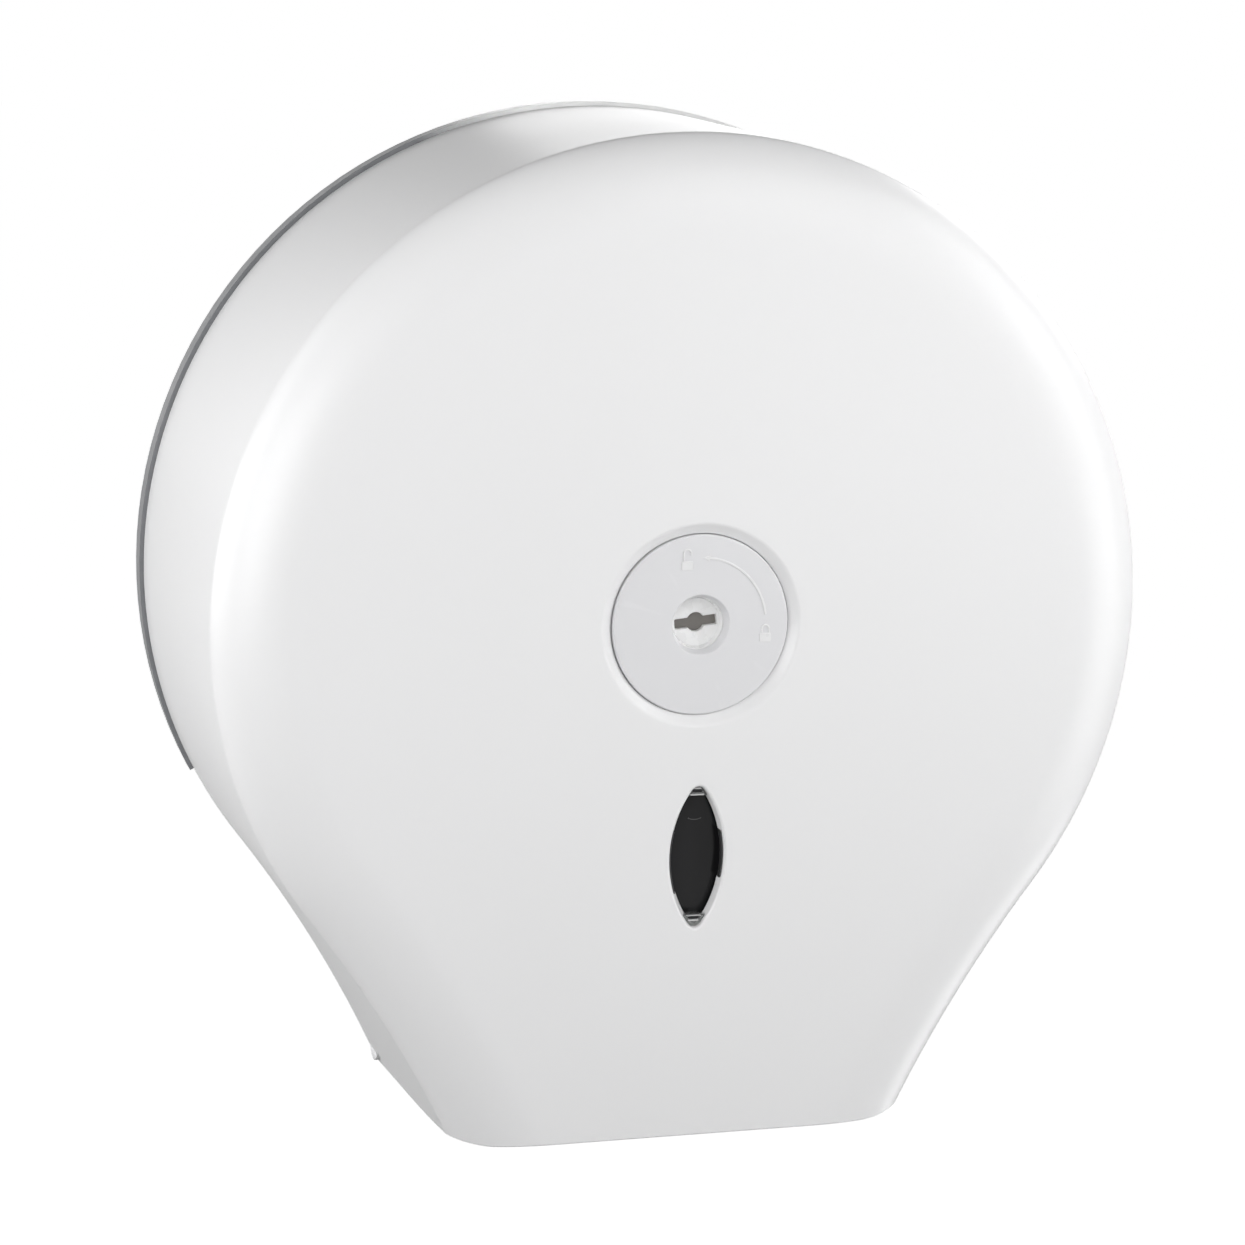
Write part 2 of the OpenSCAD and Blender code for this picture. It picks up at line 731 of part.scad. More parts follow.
// A padlock sign whose shackle stands lift above its body, with a free leg this long
module padlock(lift, leg) {
    mid_r = shackle_r - mark_w / 2;
    translate([-lock_w / 2, -lock_h]) square([lock_w, lock_h]);
    translate([0, lift]) intersection() {
        ring_mark(mid_r);
        translate([-shackle_r, 0]) square(2 * shackle_r);
    }
    translate([-shackle_r, -mark_w]) square([mark_w, lift + mark_w + skin_step]);
    translate([shackle_r - mark_w, lift - leg]) square([mark_w, leg + skin_step]);
}

module lock_housing() color(white_abs) from_wall() difference() {
    union() {
        rod(housing_r, housing_rear, housing_front);
        rod(housing_flange_r, housing_flange_rear, housing_flange_front);
    }
    rod(barrel_bore, housing_rear + housing_wall_t, housing_front + over);
    rod(journal_r + run_gap, housing_rear - over, housing_front);
    at_posts() rod(small_screw[0] + seat_gap, housing_flange_rear - over,
                   housing_flange_front + over);
}

module lock_housing_screws() color(steel) from_wall() at_posts()
    translate([0, 0, housing_flange_rear - fix_gap])
        pan_screw(small_screw, housing_flange_t + post_pilot - part_gap);

module lock_barrel() color(white_abs) from_wall() difference() {
    rod(barrel_r, barrel_rear, barrel_front);
    rod(plunger_bore_r, barrel_rear - over, barrel_front - barrel_face_t);
    keyhole(barrel_front - barrel_face_t - over, barrel_front + over);
}

module keyhole(near, far) {
    rod(key_r, near, far);
    translate([-key_reach, -key_h / 2, near]) cube([2 * key_reach, key_h, far - near]);
}

module lock_plunger() color(dark_grey) from_wall() {
    rod(plunger_r, plunger_front - plunger_t, plunger_front);
    rod(spigot_r, plunger_front - plunger_t - spigot_h, plunger_front - plunger_t + sink);
}

module lock_spring() color(steel) from_wall() {
    per_turn = 24;
    sides = 8;
    steps = spring_turns * per_turn;
    rise = (spring_high - spring_low) / steps;
    points = [for (i = [0:steps], k = [0:sides - 1])
        let (turn = 360 * i / per_turn, a = 360 * k / sides,
             r = spring_r + spring_wire * cos(a))
        [r * cos(turn), r * sin(turn), spring_low + rise * i + spring_wire * sin(a)]];
    around = [for (i = [0:steps - 1], k = [0:sides - 1])
        let (next = (k + 1) % sides)
        [i * sides + k, i * sides + next, (i + 1) * sides + next, (i + 1) * sides + k]];
    ends = [[for (k = [sides - 1:-1:0]) k], [for (k = [0:sides - 1]) steps * sides + k]];
    polyhedron(points, concat(around, ends));
}

module lock_shaft() color(white_abs) from_wall() difference() {
    union() {
        rod(plunger_bore_r - fix_gap, shaft_rear, plug_top);
        rod(barrel_r - seat_gap, shaft_rear, shaft_flange_front);
        rod(journal_r, housing_rear - seat_gap, shaft_rear + over);
        translate([-tenon / 2, -tenon / 2, tenon_end])
            cube([tenon, tenon, housing_rear - tenon_end]);
    }
    rod(small_screw[0] + fix_gap, tenon_end - over, shaft_hole_end);
}

module lock_cam() color(grey_abs) from_wall() difference() {
    union() {
        rod(cam_collar_r, cam_collar_rear, cam_collar_front);
        rod(cam_neck_r, cam_head_rear + over, tenon_end);
        intersection() {
            union() {
                rod(cam_long, cam_head_rear + cam_nose, cam_head_front);
                translate([0, 0, cam_head_rear])
                    cylinder(r1 = cam_long - cam_nose_in, r2 = cam_long, h = cam_nose);
            }
            translate([-cam_long - over, -cam_short, cam_head_rear - over])
                cube([2 * (cam_long + over), 2 * cam_short, cam_head_t + 2 * over]);
        }
    }
    translate([-tenon / 2 - seat_gap, -tenon / 2 - seat_gap, tenon_end - seat_gap])
        cube([tenon + 2 * seat_gap, tenon + 2 * seat_gap, cam_collar_front + over - tenon_end]);
    rod(small_screw[0] + seat_gap, cam_head_rear - over, tenon_end);
    rod(small_screw[1] + seat_gap, cam_head_rear - over, cam_screw_sink);
}

module lock_cam_screw() color(steel) from_wall()
    translate([0, 0, cam_screw_sink - fix_gap])
        pan_screw(small_screw, shaft_hole_end - part_gap - cam_screw_sink);

// ---- Hinge and tear bars ----

module hinge_pin() color(steel) from_wall() along_hinge(pin_out - pin_len, pin_out, pin_r);

module hinge_pin_left() mirror([1, 0, 0]) hinge_pin();

module hinge_pin_right() hinge_pin();

module tear_bar() color(steel) from_wall() on_flank()
    translate([0, 0, bar_off + fix_gap]) linear_extrude(bar_t) bar_outline();

module bar_outline() {
    teeth = floor(bar_len / tooth_pitch);
    start = -teeth * tooth_pitch / 2;
    low = -bar_proud;
    difference() {
        polygon(concat(
            [for (i = [0:2 * teeth])
                [start + i * tooth_pitch / 2, low + (i % 2 == 0 ? tooth_h : 0)]],
            [[-start, bar_h - bar_proud], [start, bar_h - bar_proud]]));
        for (end = [-1, 1]) translate([end * bar_screw_x, bar_screw_y])
            circle(r = small_screw[0] + seat_gap);
    }
}

module tear_bar_left() mirror([1, 0, 0]) tear_bar();

module tear_bar_right() tear_bar();

module tear_bar_screws() color(steel) both_sides() from_wall() on_flank() at_bar_screws()
    translate([0, 0, bar_off + bar_t + 2 * fix_gap]) mirror([0, 0, 1])
        pan_screw(small_screw, bar_off + bar_t + bar_screw_hold - seat_gap);

back_plate();
spindle();
spindle_screws();
spindle_cap();
cap_screws();
catch_clip();
clip_screw();
roll_sleeve();
core_adapter();
front_cover();
view_window();
lock_face_disc();
lock_housing();
lock_housing_screws();
lock_barrel();
lock_plunger();
lock_spring();
lock_shaft();
lock_cam();
lock_cam_screw();
hinge_pin_left();
hinge_pin_right();
tear_bar_left();
tear_bar_right();
tear_bar_screws();
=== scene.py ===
"""Looks of the jumbo toilet roll dispenser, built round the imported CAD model."""
import bpy, bmesh, math
from mathutils import Matrix, Vector


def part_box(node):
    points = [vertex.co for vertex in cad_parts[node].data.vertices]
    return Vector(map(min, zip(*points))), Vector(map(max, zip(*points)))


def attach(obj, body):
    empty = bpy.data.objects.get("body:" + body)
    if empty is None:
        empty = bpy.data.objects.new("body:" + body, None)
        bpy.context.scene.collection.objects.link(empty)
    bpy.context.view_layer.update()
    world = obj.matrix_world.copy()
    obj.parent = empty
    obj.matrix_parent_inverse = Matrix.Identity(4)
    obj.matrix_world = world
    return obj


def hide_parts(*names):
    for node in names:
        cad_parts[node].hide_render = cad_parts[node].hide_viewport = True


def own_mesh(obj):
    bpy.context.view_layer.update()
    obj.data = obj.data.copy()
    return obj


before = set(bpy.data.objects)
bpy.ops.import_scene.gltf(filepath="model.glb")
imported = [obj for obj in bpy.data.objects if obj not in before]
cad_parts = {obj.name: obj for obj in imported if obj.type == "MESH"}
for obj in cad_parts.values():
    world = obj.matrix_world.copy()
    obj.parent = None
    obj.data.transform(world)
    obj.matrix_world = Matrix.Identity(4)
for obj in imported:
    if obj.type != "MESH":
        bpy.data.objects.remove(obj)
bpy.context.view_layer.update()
SCENE = bpy.context.scene
SCENE.view_settings.view_transform = "Standard"
SCENE.view_settings.look = "None"
MM = 0.001

# ---------------------------------------------------------------- camera
def set_camera(az, el, roll, dist, f_px, aim, centre, side=1245):
    """Angles in degrees, dist and aim in mm; focal length and centre in the photo's pixels."""
    az, el, roll = (math.radians(v) for v in (az, el, roll))
    back = Vector((math.sin(az) * math.cos(el), -math.cos(az) * math.cos(el), math.sin(el)))
    right = (-back).cross(Vector((0, 0, 1))).normalized()
    up = right.cross(-back)
    x = right * math.cos(roll) + up * math.sin(roll)
    y = up * math.cos(roll) - right * math.sin(roll)
    data = bpy.data.cameras.new("camera")
    cam = bpy.data.objects.new("camera", data)
    SCENE.collection.objects.link(cam)
    m = Matrix.Identity(4)
    for i in range(3):
        m[i][0], m[i][1], m[i][2], m[i][3] = x[i], y[i], back[i], (aim[i] + back[i] * dist) * MM
    cam.matrix_world = m
    data.sensor_fit, data.sensor_width, data.lens = "HORIZONTAL", 36, f_px * 36 / side
    data.shift_x, data.shift_y = (side / 2 - centre[0]) / side, (centre[1] - side / 2) / side
    data.clip_start, data.clip_end = 0.05, 50
    SCENE.camera = cam


set_camera(az=-17.2, el=10.75, roll=1.80, dist=907.0, f_px=3105.6,
           aim=(13.11, -60, -14.05), centre=(680.4, 632.6))

# ---------------------------------------------------------------- sizes, mm, as in the CAD
# d is a distance from the wall, and an inset is how far a skin lies inside the outline of
# the cover's rear edge
COVER_R, FACE_D, WALL = 136.0, 122.0, 2.5
NECK_A, NECK_R = math.radians(52.9), 379.0      # where the neck starts, its flanks' radius
REAR_D, CREASE_D = 8.0, 112.4                   # ends of the side, from wall to band
DRAFT, BAND_W, BAND_DROP = 3.9, 24.4, 9.6       # the crease's inset, the band's width and depth
BAND_R = BAND_W / math.sin(2 * math.atan(BAND_DROP / BAND_W))
FLAT_S = DRAFT + BAND_W                         # inset of the flat face's outline
FLANK_X = (COVER_R + NECK_R) * math.sin(NECK_A)
FLANK_Z = -(COVER_R + NECK_R) * math.cos(NECK_A)
OUTLET_REAR, OUTLET_RISE = 156.1, 10.8          # the lower edge's drop, its rise to the front
SLOPE = OUTLET_RISE / (FACE_D - REAR_D)
HINGE_D, HINGE_Z, KNUCKLE_X = 17.0, -147.0, 61.96
FRONT, BACK = Vector((0, -1, 0)), Vector((0, 1, 0))
DOWN = Vector((0, SLOPE, -1)).normalized()      # the way the cut lower edge faces


def outlet_z(d):
    return -OUTLET_REAR + (d - REAR_D) * SLOPE


def side_inset(d):
    return DRAFT * (d - REAR_D) / (CREASE_D - REAR_D)


def at(x, z, d):
    """A point of the depth frame (x, height, distance from the wall) in metres."""
    return Vector((x, -d, z)) * MM


# ---------------------------------------------------------------- mesh patches
class Skin:
    """Collects patches of points with known normals into one mesh."""

    def __init__(self):
        self.co, self.no, self.faces, self.mats = [], [], [], []

    def point(self, p, n):
        self.co.append(p)
        self.no.append(Vector(n).normalized())
        return len(self.co) - 1

    def face(self, ids, mat=0):
        """Adds a face and turns it so that it agrees with its points' normals."""
        ids = list(dict.fromkeys(ids))
        if len(ids) < 3:
            return
        a, b, c = (self.co[i] for i in ids[:3])
        n = (b - a).cross(c - a)
        if len(ids) == 4:
            n += (c - a).cross(self.co[ids[3]] - a)
        want = sum((self.no[i] for i in ids), Vector())
        self.faces.append(ids if n.dot(want) >= 0 else ids[::-1])
        self.mats.append(mat)

    def grid(self, rows, closed=False, mat=0):
        """rows of (point, normal), all of the same length."""
        ids = [[self.point(p, n) for p, n in row] for row in rows]
        for r0, r1 in zip(ids, ids[1:]):
            span = len(r0) if closed else len(r0) - 1
            for k in range(span):
                j = (k + 1) % len(r0)
                self.face([r0[k], r0[j], r1[j], r1[k]], mat)

    def fill(self, loops, normal, mat=0):
        """Fills the flat region between loops of points."""
        bm = bmesh.new()
        edges, key = [], {}
        for loop in loops:
            vs = [bm.verts.new(p) for p in loop]
            edges += [bm.edges.new((vs[i], vs[(i + 1) % len(vs)])) for i in range(len(vs))]
        bmesh.ops.triangle_fill(bm, edges=edges, use_beauty=True, use_dissolve=False,
                                normal=Vector(normal))
        bm.verts.index_update()
        for v in bm.verts:
            key[v.index] = self.point(v.co.copy(), normal)
        for f in bm.faces:
            self.face([key[v.index] for v in f.verts], mat)
        bm.free()

    def build(self, name, mats):
        """Welds the patches where they meet and keeps each corner's own normal."""
        key, ids, co = {}, [], []
        for p in self.co:
            k = tuple(round(v * 1e7) for v in p)
            if k not in key:
                key[k] = len(co)
                co.append(tuple(p))
            ids.append(key[k])
        faces, normals, mats_used = [], [], []
        for f, m in zip(self.faces, self.mats):
            seen, corners = set(), []
            for i in f:
                if ids[i] not in seen:
                    seen.add(ids[i])
                    corners.append(i)
            if len(corners) > 2:
                faces.append([ids[i] for i in corners])
                normals += [tuple(self.no[i]) for i in corners]
                mats_used.append(m)
        me = bpy.data.meshes.new(name)
        me.from_pydata(co, [], faces)
        me.polygons.foreach_set("use_smooth", [True] * len(me.polygons))
        me.polygons.foreach_set("material_index", mats_used)
        me.normals_split_custom_set(normals)
        ob = bpy.data.objects.new(name, me)
        SCENE.collection.objects.link(ob)
        for m in mats if isinstance(mats, (list, tuple)) else [mats]:
            me.materials.append(m)
        return ob


def arc(cx, cy, r, a0, a1, steps):
    """Points of an arc and their outward directions: (x, y, angle)."""
    angles = [a0 + (a1 - a0) * i / steps for i in range(steps + 1)]
    return [(cx + r * math.cos(a), cy + r * math.sin(a), a) for a in angles]


def around(steps):
    """The angles of a circle's points."""
    return [2 * math.pi * k / steps for k in range(steps)]


def circle(r, steps, centre=(0, 0)):
    return [(centre[0] + r * math.cos(t), centre[1] + r * math.sin(t)) for t in around(steps)]


def level(loop, d):
    """An outline's points at the distance d from the wall."""
    return [at(p[0], p[1], d) for p in loop]


def points(row):
    return [p for p, _ in row]


def row_at(loop, d, out, fore):
    """A row along an outline of (x, z, normal x, normal z), at the distance d. Its normals
    are made of the outline's own times out, and the way to the front times fore."""
    return [(at(x, z, d), Vector((nx * out, -fore, nz * out))) for x, z, nx, nz in loop]


def rounded_rim(widened, d, r, steps):
    """Rows that round an opening's front edge; widened(s) is the opening grown by s."""
    rows = []
    for i in range(steps + 1):
        a = math.pi / 2 * i / steps
        rows.append(row_at(widened(r * (1 - math.sin(a))), d - r * (1 - math.cos(a)),
                           -math.sin(a), math.cos(a)))
    return rows


def turned(skin, place, profile, steps=40):
    """A turned shape about the local z of a frame placed in the depth frame, in mm.
    profile: (radius, height, angle of the normal from outward towards +height)."""
    turn = place.to_3x3()
    rows = []
    for r, h, a in profile:
        row = []
        for t in around(steps):
            p = place @ Vector((r * math.cos(t), r * math.sin(t), h))
            n = turn @ Vector((math.cos(a) * math.cos(t), math.cos(a) * math.sin(t), math.sin(a)))
            row.append((at(p.x, p.y, p.z), Vector((n.x, -n.z, n.y))))
        rows.append(row)
    skin.grid(rows, closed=True)


def lathe(skin, profile, centre=(0, 0), steps=96):
    """A turned shape about an axis that is square to the wall.
    profile: (radius, depth, angle of the normal from outward towards the front)."""
    rows = []
    for r, d, a in profile:
        out, fore = math.cos(a), math.sin(a)
        rows.append([(at(centre[0] + r * math.cos(t), centre[1] + r * math.sin(t), d),
                      Vector((out * math.cos(t), -fore, out * math.sin(t))))
                     for t in around(steps)])
    skin.grid(rows, closed=True)


# ---------------------------------------------------------------- cover
FLANK_N, CIRCLE_N = 30, 88              # steps of a flank and of half the drum


def outline(s, cut):
    """The cover's outline moved inwards by s, from the right end of the lower edge
    (height cut) over the top to its left end: (x, z, normal x, normal z)."""
    r = NECK_R + s
    a_end, a_top = math.asin((cut - FLANK_Z) / r), math.pi / 2 - NECK_A
    right = []
    for i in range(FLANK_N):
        a = a_end + (a_top - a_end) * i / FLANK_N
        right.append((FLANK_X - r * math.cos(a), FLANK_Z + r * math.sin(a),
                      math.cos(a), -math.sin(a)))
    for i in range(CIRCLE_N):
        t = NECK_A + (math.pi - NECK_A) * i / CIRCLE_N
        right.append(((COVER_R - s) * math.sin(t), -(COVER_R - s) * math.cos(t),
                      math.sin(t), -math.cos(t)))
    top = [(0.0, COVER_R - s, 0.0, 1.0)]
    return right + top + [(-x, z, -nx, nz) for x, z, nx, nz in reversed(right)]


CORNER_RISE, CORNER_BACK, CORNER_IN = 2.6, 62.0, 11.0   # height, start in depth, inset


def corner_lift(s, d):
    """How much the lower edge rises towards the corner between flank and band."""
    back = (d - CORNER_BACK) / (CREASE_D - CORNER_BACK)
    across = 1 - (s - DRAFT) / CORNER_IN
    return CORNER_RISE * max(0.0, min(back, across, 1.0)) ** 2


def sweep(profile, lift=0.0, inward=False):
    """Rows of the cover's skin. profile: (inset, depth, angle of the normal)."""
    rows = []
    for s, d, a in profile:
        row = []
        rise = lift + corner_lift(s - (WALL if inward else 0), d)
        for x, z, nx, nz in outline(s, outlet_z(d) + rise):
            n = Vector((nx * math.cos(a), -math.sin(a), nz * math.cos(a)))
            row.append((at(x, z, d), -n if inward else n))
        rows.append(row)
    return rows


BAND_END = math.radians(76)             # how far round its ellipse the band reaches
BAND_A = BAND_W / math.sin(BAND_END)
BAND_B = BAND_DROP / (1 - math.cos(BAND_END))


def band_at(phi):
    """A point of the band: (inset, depth, angle of its normal from outward to front)."""
    tilt = math.atan2(BAND_B * math.sin(phi), BAND_A * math.cos(phi))
    return (FLAT_S - BAND_A * math.sin(phi), FACE_D - BAND_B * (1 - math.cos(phi)),
            math.pi / 2 - tilt)


def cover_profile(edge_r=0.45, soft=0.7):
    """The outer skin from its rounded rear edge over side, crease and band to the flat
    face: (inset, depth, angle of the normal)."""
    side_a = math.atan(DRAFT / (CREASE_D - REAR_D))
    out = [(edge_r - edge_r * math.cos(a), REAR_D + edge_r + edge_r * math.sin(a), a)
           for a in (-math.pi / 2, -math.pi / 3, -math.pi / 6, 0)]
    start, end = REAR_D + edge_r, CREASE_D - soft
    for i in range(1, 9):
        d = start + (end - start) * i / 8
        out.append((side_inset(d), d, side_a))
    # soft crease: a curve from the side to the point of the band that is soft away from it
    phi, phi_step, band_n = BAND_END, 0.002, 26
    while math.hypot(band_at(phi)[0] - DRAFT, band_at(phi)[1] - CREASE_D) < soft:
        phi -= phi_step
    p0, p1, p2 = out[-1][:2], (DRAFT, CREASE_D), band_at(phi)[:2]
    for i in range(1, 7):
        t = i / 6
        s, d = ((1 - t) ** 2 * p0[k] + 2 * t * (1 - t) * p1[k] + t * t * p2[k] for k in (0, 1))
        ds, dd = ((1 - t) * (p1[k] - p0[k]) + t * (p2[k] - p1[k]) for k in (0, 1))
        out.append((s, d, math.atan2(ds, dd)))
    out += [band_at(phi * (1 - i / band_n)) for i in range(1, band_n + 1)]
    return out


# the window's leaf: height, width, centre, radius of the rounded tips; radius and centre
# of its sides follow
LEAF_H, LEAF_W, LEAF_X, LEAF_Z, LEAF_TIP = 40.0, 15.6, 0.8, -65.05, 2.35
LEAF_R = (((LEAF_W / 2) ** 2 + (LEAF_H / 2 - LEAF_TIP) ** 2 - LEAF_TIP ** 2)
          / (LEAF_W - 2 * LEAF_TIP))
LEAF_C = LEAF_R - LEAF_W / 2
STUD_OUT = 23.0                         # studs that hold the lens, above and below its centre


def leaf_arcs(shrink):
    """Radius of the leaf's sides, radius and height of its tips, angle where they meet."""
    rr, rt = LEAF_R - shrink, max(LEAF_TIP - shrink, 0.12)
    zc = math.sqrt((rr - rt) ** 2 - LEAF_C ** 2)
    return rr, rt, zc, math.atan2(zc, LEAF_C)


def leaf_outline(shrink=0.0, n=30, tips=8):
    """Leaf between two arcs, anticlockwise: (x, z, normal x, normal z)."""
    rr, rt, zc, at_tip = leaf_arcs(shrink)
    half = [(x, z, math.cos(a), math.sin(a)) for x, z, a in
            arc(-LEAF_C, 0, rr, -at_tip, at_tip, n)[:-1]
            + arc(0, zc, rt, at_tip, math.pi - at_tip, tips)[:-1]]
    half += [(-x, -z, -nx, -nz) for x, z, nx, nz in half]
    return [(LEAF_X + x, LEAF_Z + z, nx, nz) for x, z, nx, nz in half]


def leaf_end(shrink, right, left=None, aside=0.0, n=12, tips=8):
    """The part of the leaf above (or below) the heights right and left, moved aside."""
    rr, rt, zc, at_tip = leaf_arcs(shrink)
    left = right if left is None else left
    up = 1 if right > LEAF_Z else -1
    first, last = (math.asin(abs(limit - LEAF_Z) / rr)
                   for limit in ((right, left) if up > 0 else (left, right)))
    pts = (arc(-LEAF_C, 0, rr, first, at_tip, n)[:-1]
           + arc(0, zc, rt, at_tip, math.pi - at_tip, tips)
           + arc(LEAF_C, 0, rr, math.pi - at_tip, math.pi - last, n)[1:])
    return [(LEAF_X + aside + x * up, LEAF_Z + z * up, math.cos(a) * up, math.sin(a) * up)
            for x, z, a in pts]


# collars in the opening's two ends: the heights where they end, depth, inset, shift
NOTCH_TOP, NOTCH_LOW, NOTCH_LEFT = -57.7, -71.3, -75.4
COLLAR_D, COLLAR_IN, COLLAR_ASIDE = 118.3, 0.75, 0.45


def flank_frame(side):
    """Frame inside a flank: x to the front along the lower edge, y up, z inwards."""
    depth = 68.0
    z = outlet_z(depth)
    inner = NECK_R + side_inset(depth) + WALL
    tilt = math.asin((z - FLANK_Z) / inner)
    place = (Matrix.Translation((FLANK_X - inner * math.cos(tilt), z, depth))
             @ Matrix.Rotation(-tilt, 4, "Z") @ Matrix.Rotation(-math.pi / 2, 4, "Y")
             @ Matrix.Rotation(-math.atan(DRAFT / (CREASE_D - REAR_D)), 4, "Y")
             @ Matrix.Rotation(math.atan(SLOPE / math.cos(tilt)), 4, "Z"))
    return place if side > 0 else Matrix.Diagonal((-1, 1, 1, 1)) @ place


LIP_R, RIM_R = 0.5, 0.9                 # rounding of the lower edge and of the window's opening
# dish round the disc: outer and rim radius; the disc's pocket: radius and depths
DISH_OUT, DISH_RIM, POCKET_R, POCKET_D, DISH_LOW = 29.9, 28.0, 25.1, 118.0, 119.9
BORE_R, BOSS_R, BOSS_D = 12.15, 29.0, 115.2     # hole for the lock, the boss round the pocket
INNER_LEAN = 0.0373                     # how far the side's inner face leans


def flat_face(sk, rim_row, parts=24):
    """The flat face, without the dish's and the window's rims. Returns the points
    between the ends of its lower edge, from left to right."""
    left, right = rim_row[-1][0], rim_row[0][0]
    base = [left.lerp(right, i / parts) for i in range(1, parts)]
    sk.fill([points(rim_row) + base, level(circle(DISH_OUT, 96), FACE_D),
             level(leaf_outline(-RIM_R), FACE_D)], FRONT)
    return base


def lower_strip(sk, rows, base):
    """The rounding of the lower edge. Returns the points at the end of the cut face."""
    edge = [row[0] for row in rows] + [(p, FRONT) for p in reversed(base)]
    edge += [row[-1] for row in reversed(rows)]
    strip = []
    for a in (math.pi / 8 * i for i in range(5)):
        line = []
        for p, n in edge:
            t = (DOWN - n * DOWN.dot(n)).normalized()
            line.append((p + (t * math.sin(a) - n * (1 - math.cos(a))) * LIP_R * MM,
                         n * math.cos(a) + t * math.sin(a)))
        strip.append(line)
    sk.grid(strip)
    return points(strip[-1])


def inner_skin(sk):
    """Inside of the side, of the band and of the face. Returns the side's and band's rows."""
    cd, ri = FACE_D - BAND_R, BAND_R - WALL
    a_in = math.asin((BAND_W - WALL) / ri)
    profile = [(WALL + side_inset(d), d, INNER_LEAN)
               for d in (REAR_D, 40, 75, cd + ri * math.cos(a_in))]
    profile += [(FLAT_S - ri * math.sin(a), cd + ri * math.cos(a), math.pi / 2 - a)
                for a in (a_in * (1 - i / 12) for i in range(1, 13))]
    rows = sweep(profile, inward=True)
    sk.grid(rows)
    sk.fill([points(rows[-1]), level(circle(BOSS_R, 96), FACE_D - WALL),
             level(leaf_outline(), FACE_D - WALL)], BACK)
    return rows


def window_opening(sk):
    """A rounded rim, the wall behind it, and tapered collars inside the two ends."""
    hole = rounded_rim(lambda grow: leaf_outline(-grow), FACE_D, RIM_R, 6)
    hole.append(row_at(leaf_outline(), FACE_D - WALL, -1, 0))
    sk.grid(hole, closed=True)
    lean = math.atan2(COLLAR_IN, FACE_D - RIM_R - COLLAR_D)
    section = ((0.02, FACE_D - RIM_R, lean), (COLLAR_IN - 0.06, COLLAR_D + 0.2, lean),
               (COLLAR_IN - 0.1, COLLAR_D + 0.05, -0.7),
               (COLLAR_IN - 0.25, COLLAR_D, -math.pi / 2),
               (-0.1, COLLAR_D, -math.pi / 2), (-0.25, COLLAR_D + 0.15, -2.3),
               (-0.25, FACE_D - WALL, -math.pi))
    for right, left in ((NOTCH_TOP, NOTCH_TOP), (NOTCH_LOW, NOTCH_LEFT)):
        rows = [row_at(leaf_end(shrink, right, left, COLLAR_ASIDE if shrink > 0.4 else 0.0),
                       d, -math.cos(tilt), math.sin(tilt)) for shrink, d, tilt in section]
        sk.grid(rows)
        toward = Vector((0, 0, 1 if right < LEAF_Z else -1))
        for end in (0, -1):
            sk.fill([[row[end][0] for row in rows]], toward)


def lock_pocket(sk):
    """The dish round the disc, the disc's pocket, its floor and the boss behind it."""
    slope = math.atan2(FACE_D - DISH_LOW, DISH_RIM - POCKET_R)
    top_r, low_r = 1.8, 0.5             # rounding of the dish's rim and of the pocket's
    lathe(sk, [(DISH_OUT, FACE_D, math.pi / 2)]
          + arc(DISH_RIM + top_r * math.tan(slope / 2), FACE_D - top_r, top_r,
                math.pi / 2, math.pi / 2 + slope, 8)
          + arc(POCKET_R + low_r, DISH_LOW + 0.25 - low_r, low_r,
                math.pi / 2 + slope, math.pi, 5)
          + [(POCKET_R, POCKET_D, math.pi)])
    lathe(sk, [(POCKET_R, POCKET_D, math.pi / 2), (BORE_R, POCKET_D, math.pi / 2)])
    lathe(sk, [(BORE_R, POCKET_D, math.pi), (BORE_R, BOSS_D, math.pi)])
    lathe(sk, [(BORE_R, BOSS_D, -math.pi / 2), (BOSS_R - 0.4, BOSS_D, -math.pi / 2),
               (BOSS_R - 0.1, BOSS_D + 0.15, -math.pi / 4), (BOSS_R, BOSS_D + 0.4, 0),
               (BOSS_R, FACE_D - WALL, 0)])


def cover_bosses(sk):
    """Hinge knuckles, bosses of the tear bars' screws, and the studs that hold the lens."""
    for side in (-1, 1):
        place = (Matrix.Translation((side * KNUCKLE_X, HINGE_Z, HINGE_D))
                 @ Matrix.Rotation(side * math.pi / 2, 4, "Y"))
        turned(sk, place, [(0.3, 0, -math.pi / 2)]
               + arc(5.5, 0.5, 0.5, -math.pi / 2, 0, 4) + [(6.0, 5.6, 0)])
        for end in (-28, 28):
            turned(sk, flank_frame(side) @ Matrix.Translation((end, 6.5, 0)),
                   [(3.0, -1.5, 0), (3.0, 1.0, 0), (2.94, 1.14, math.pi / 4),
                    (2.8, 1.2, math.pi / 2), (0.4, 1.2, math.pi / 2)], steps=24)
        turned(sk, Matrix.Translation((0, LEAF_Z + side * STUD_OUT, 0)),
               [(1.25, FACE_D - WALL, 0), (1.25, 117.8, 0), (2.0, 117.8, math.pi / 2),
                (2.1, 117.7, 0), (2.0, 117.3, -0.5), (1.5, 116.9, -1.0), (0.8, 116.75, -1.3),
                (0.1, 116.7, -math.pi / 2)], steps=24)


def make_cover(mat):
    sk = Skin()
    rows = sweep(cover_profile(), lift=LIP_R)
    sk.grid(rows)
    base = flat_face(sk, rows[-1])
    cut = lower_strip(sk, rows, base)
    inner_rows = inner_skin(sk)
    # cut face of the lower edge, and the rear edge
    inside = [row[0][0] for row in inner_rows] + [row[-1][0] for row in reversed(inner_rows)]
    sk.fill([cut + inside[::-1]], DOWN)
    sk.grid([[(p, BACK) for p in points(row)] for row in (rows[0], inner_rows[0])])
    window_opening(sk)
    lock_pocket(sk)
    cover_bosses(sk)
    return sk.build("cover_shell", mat)


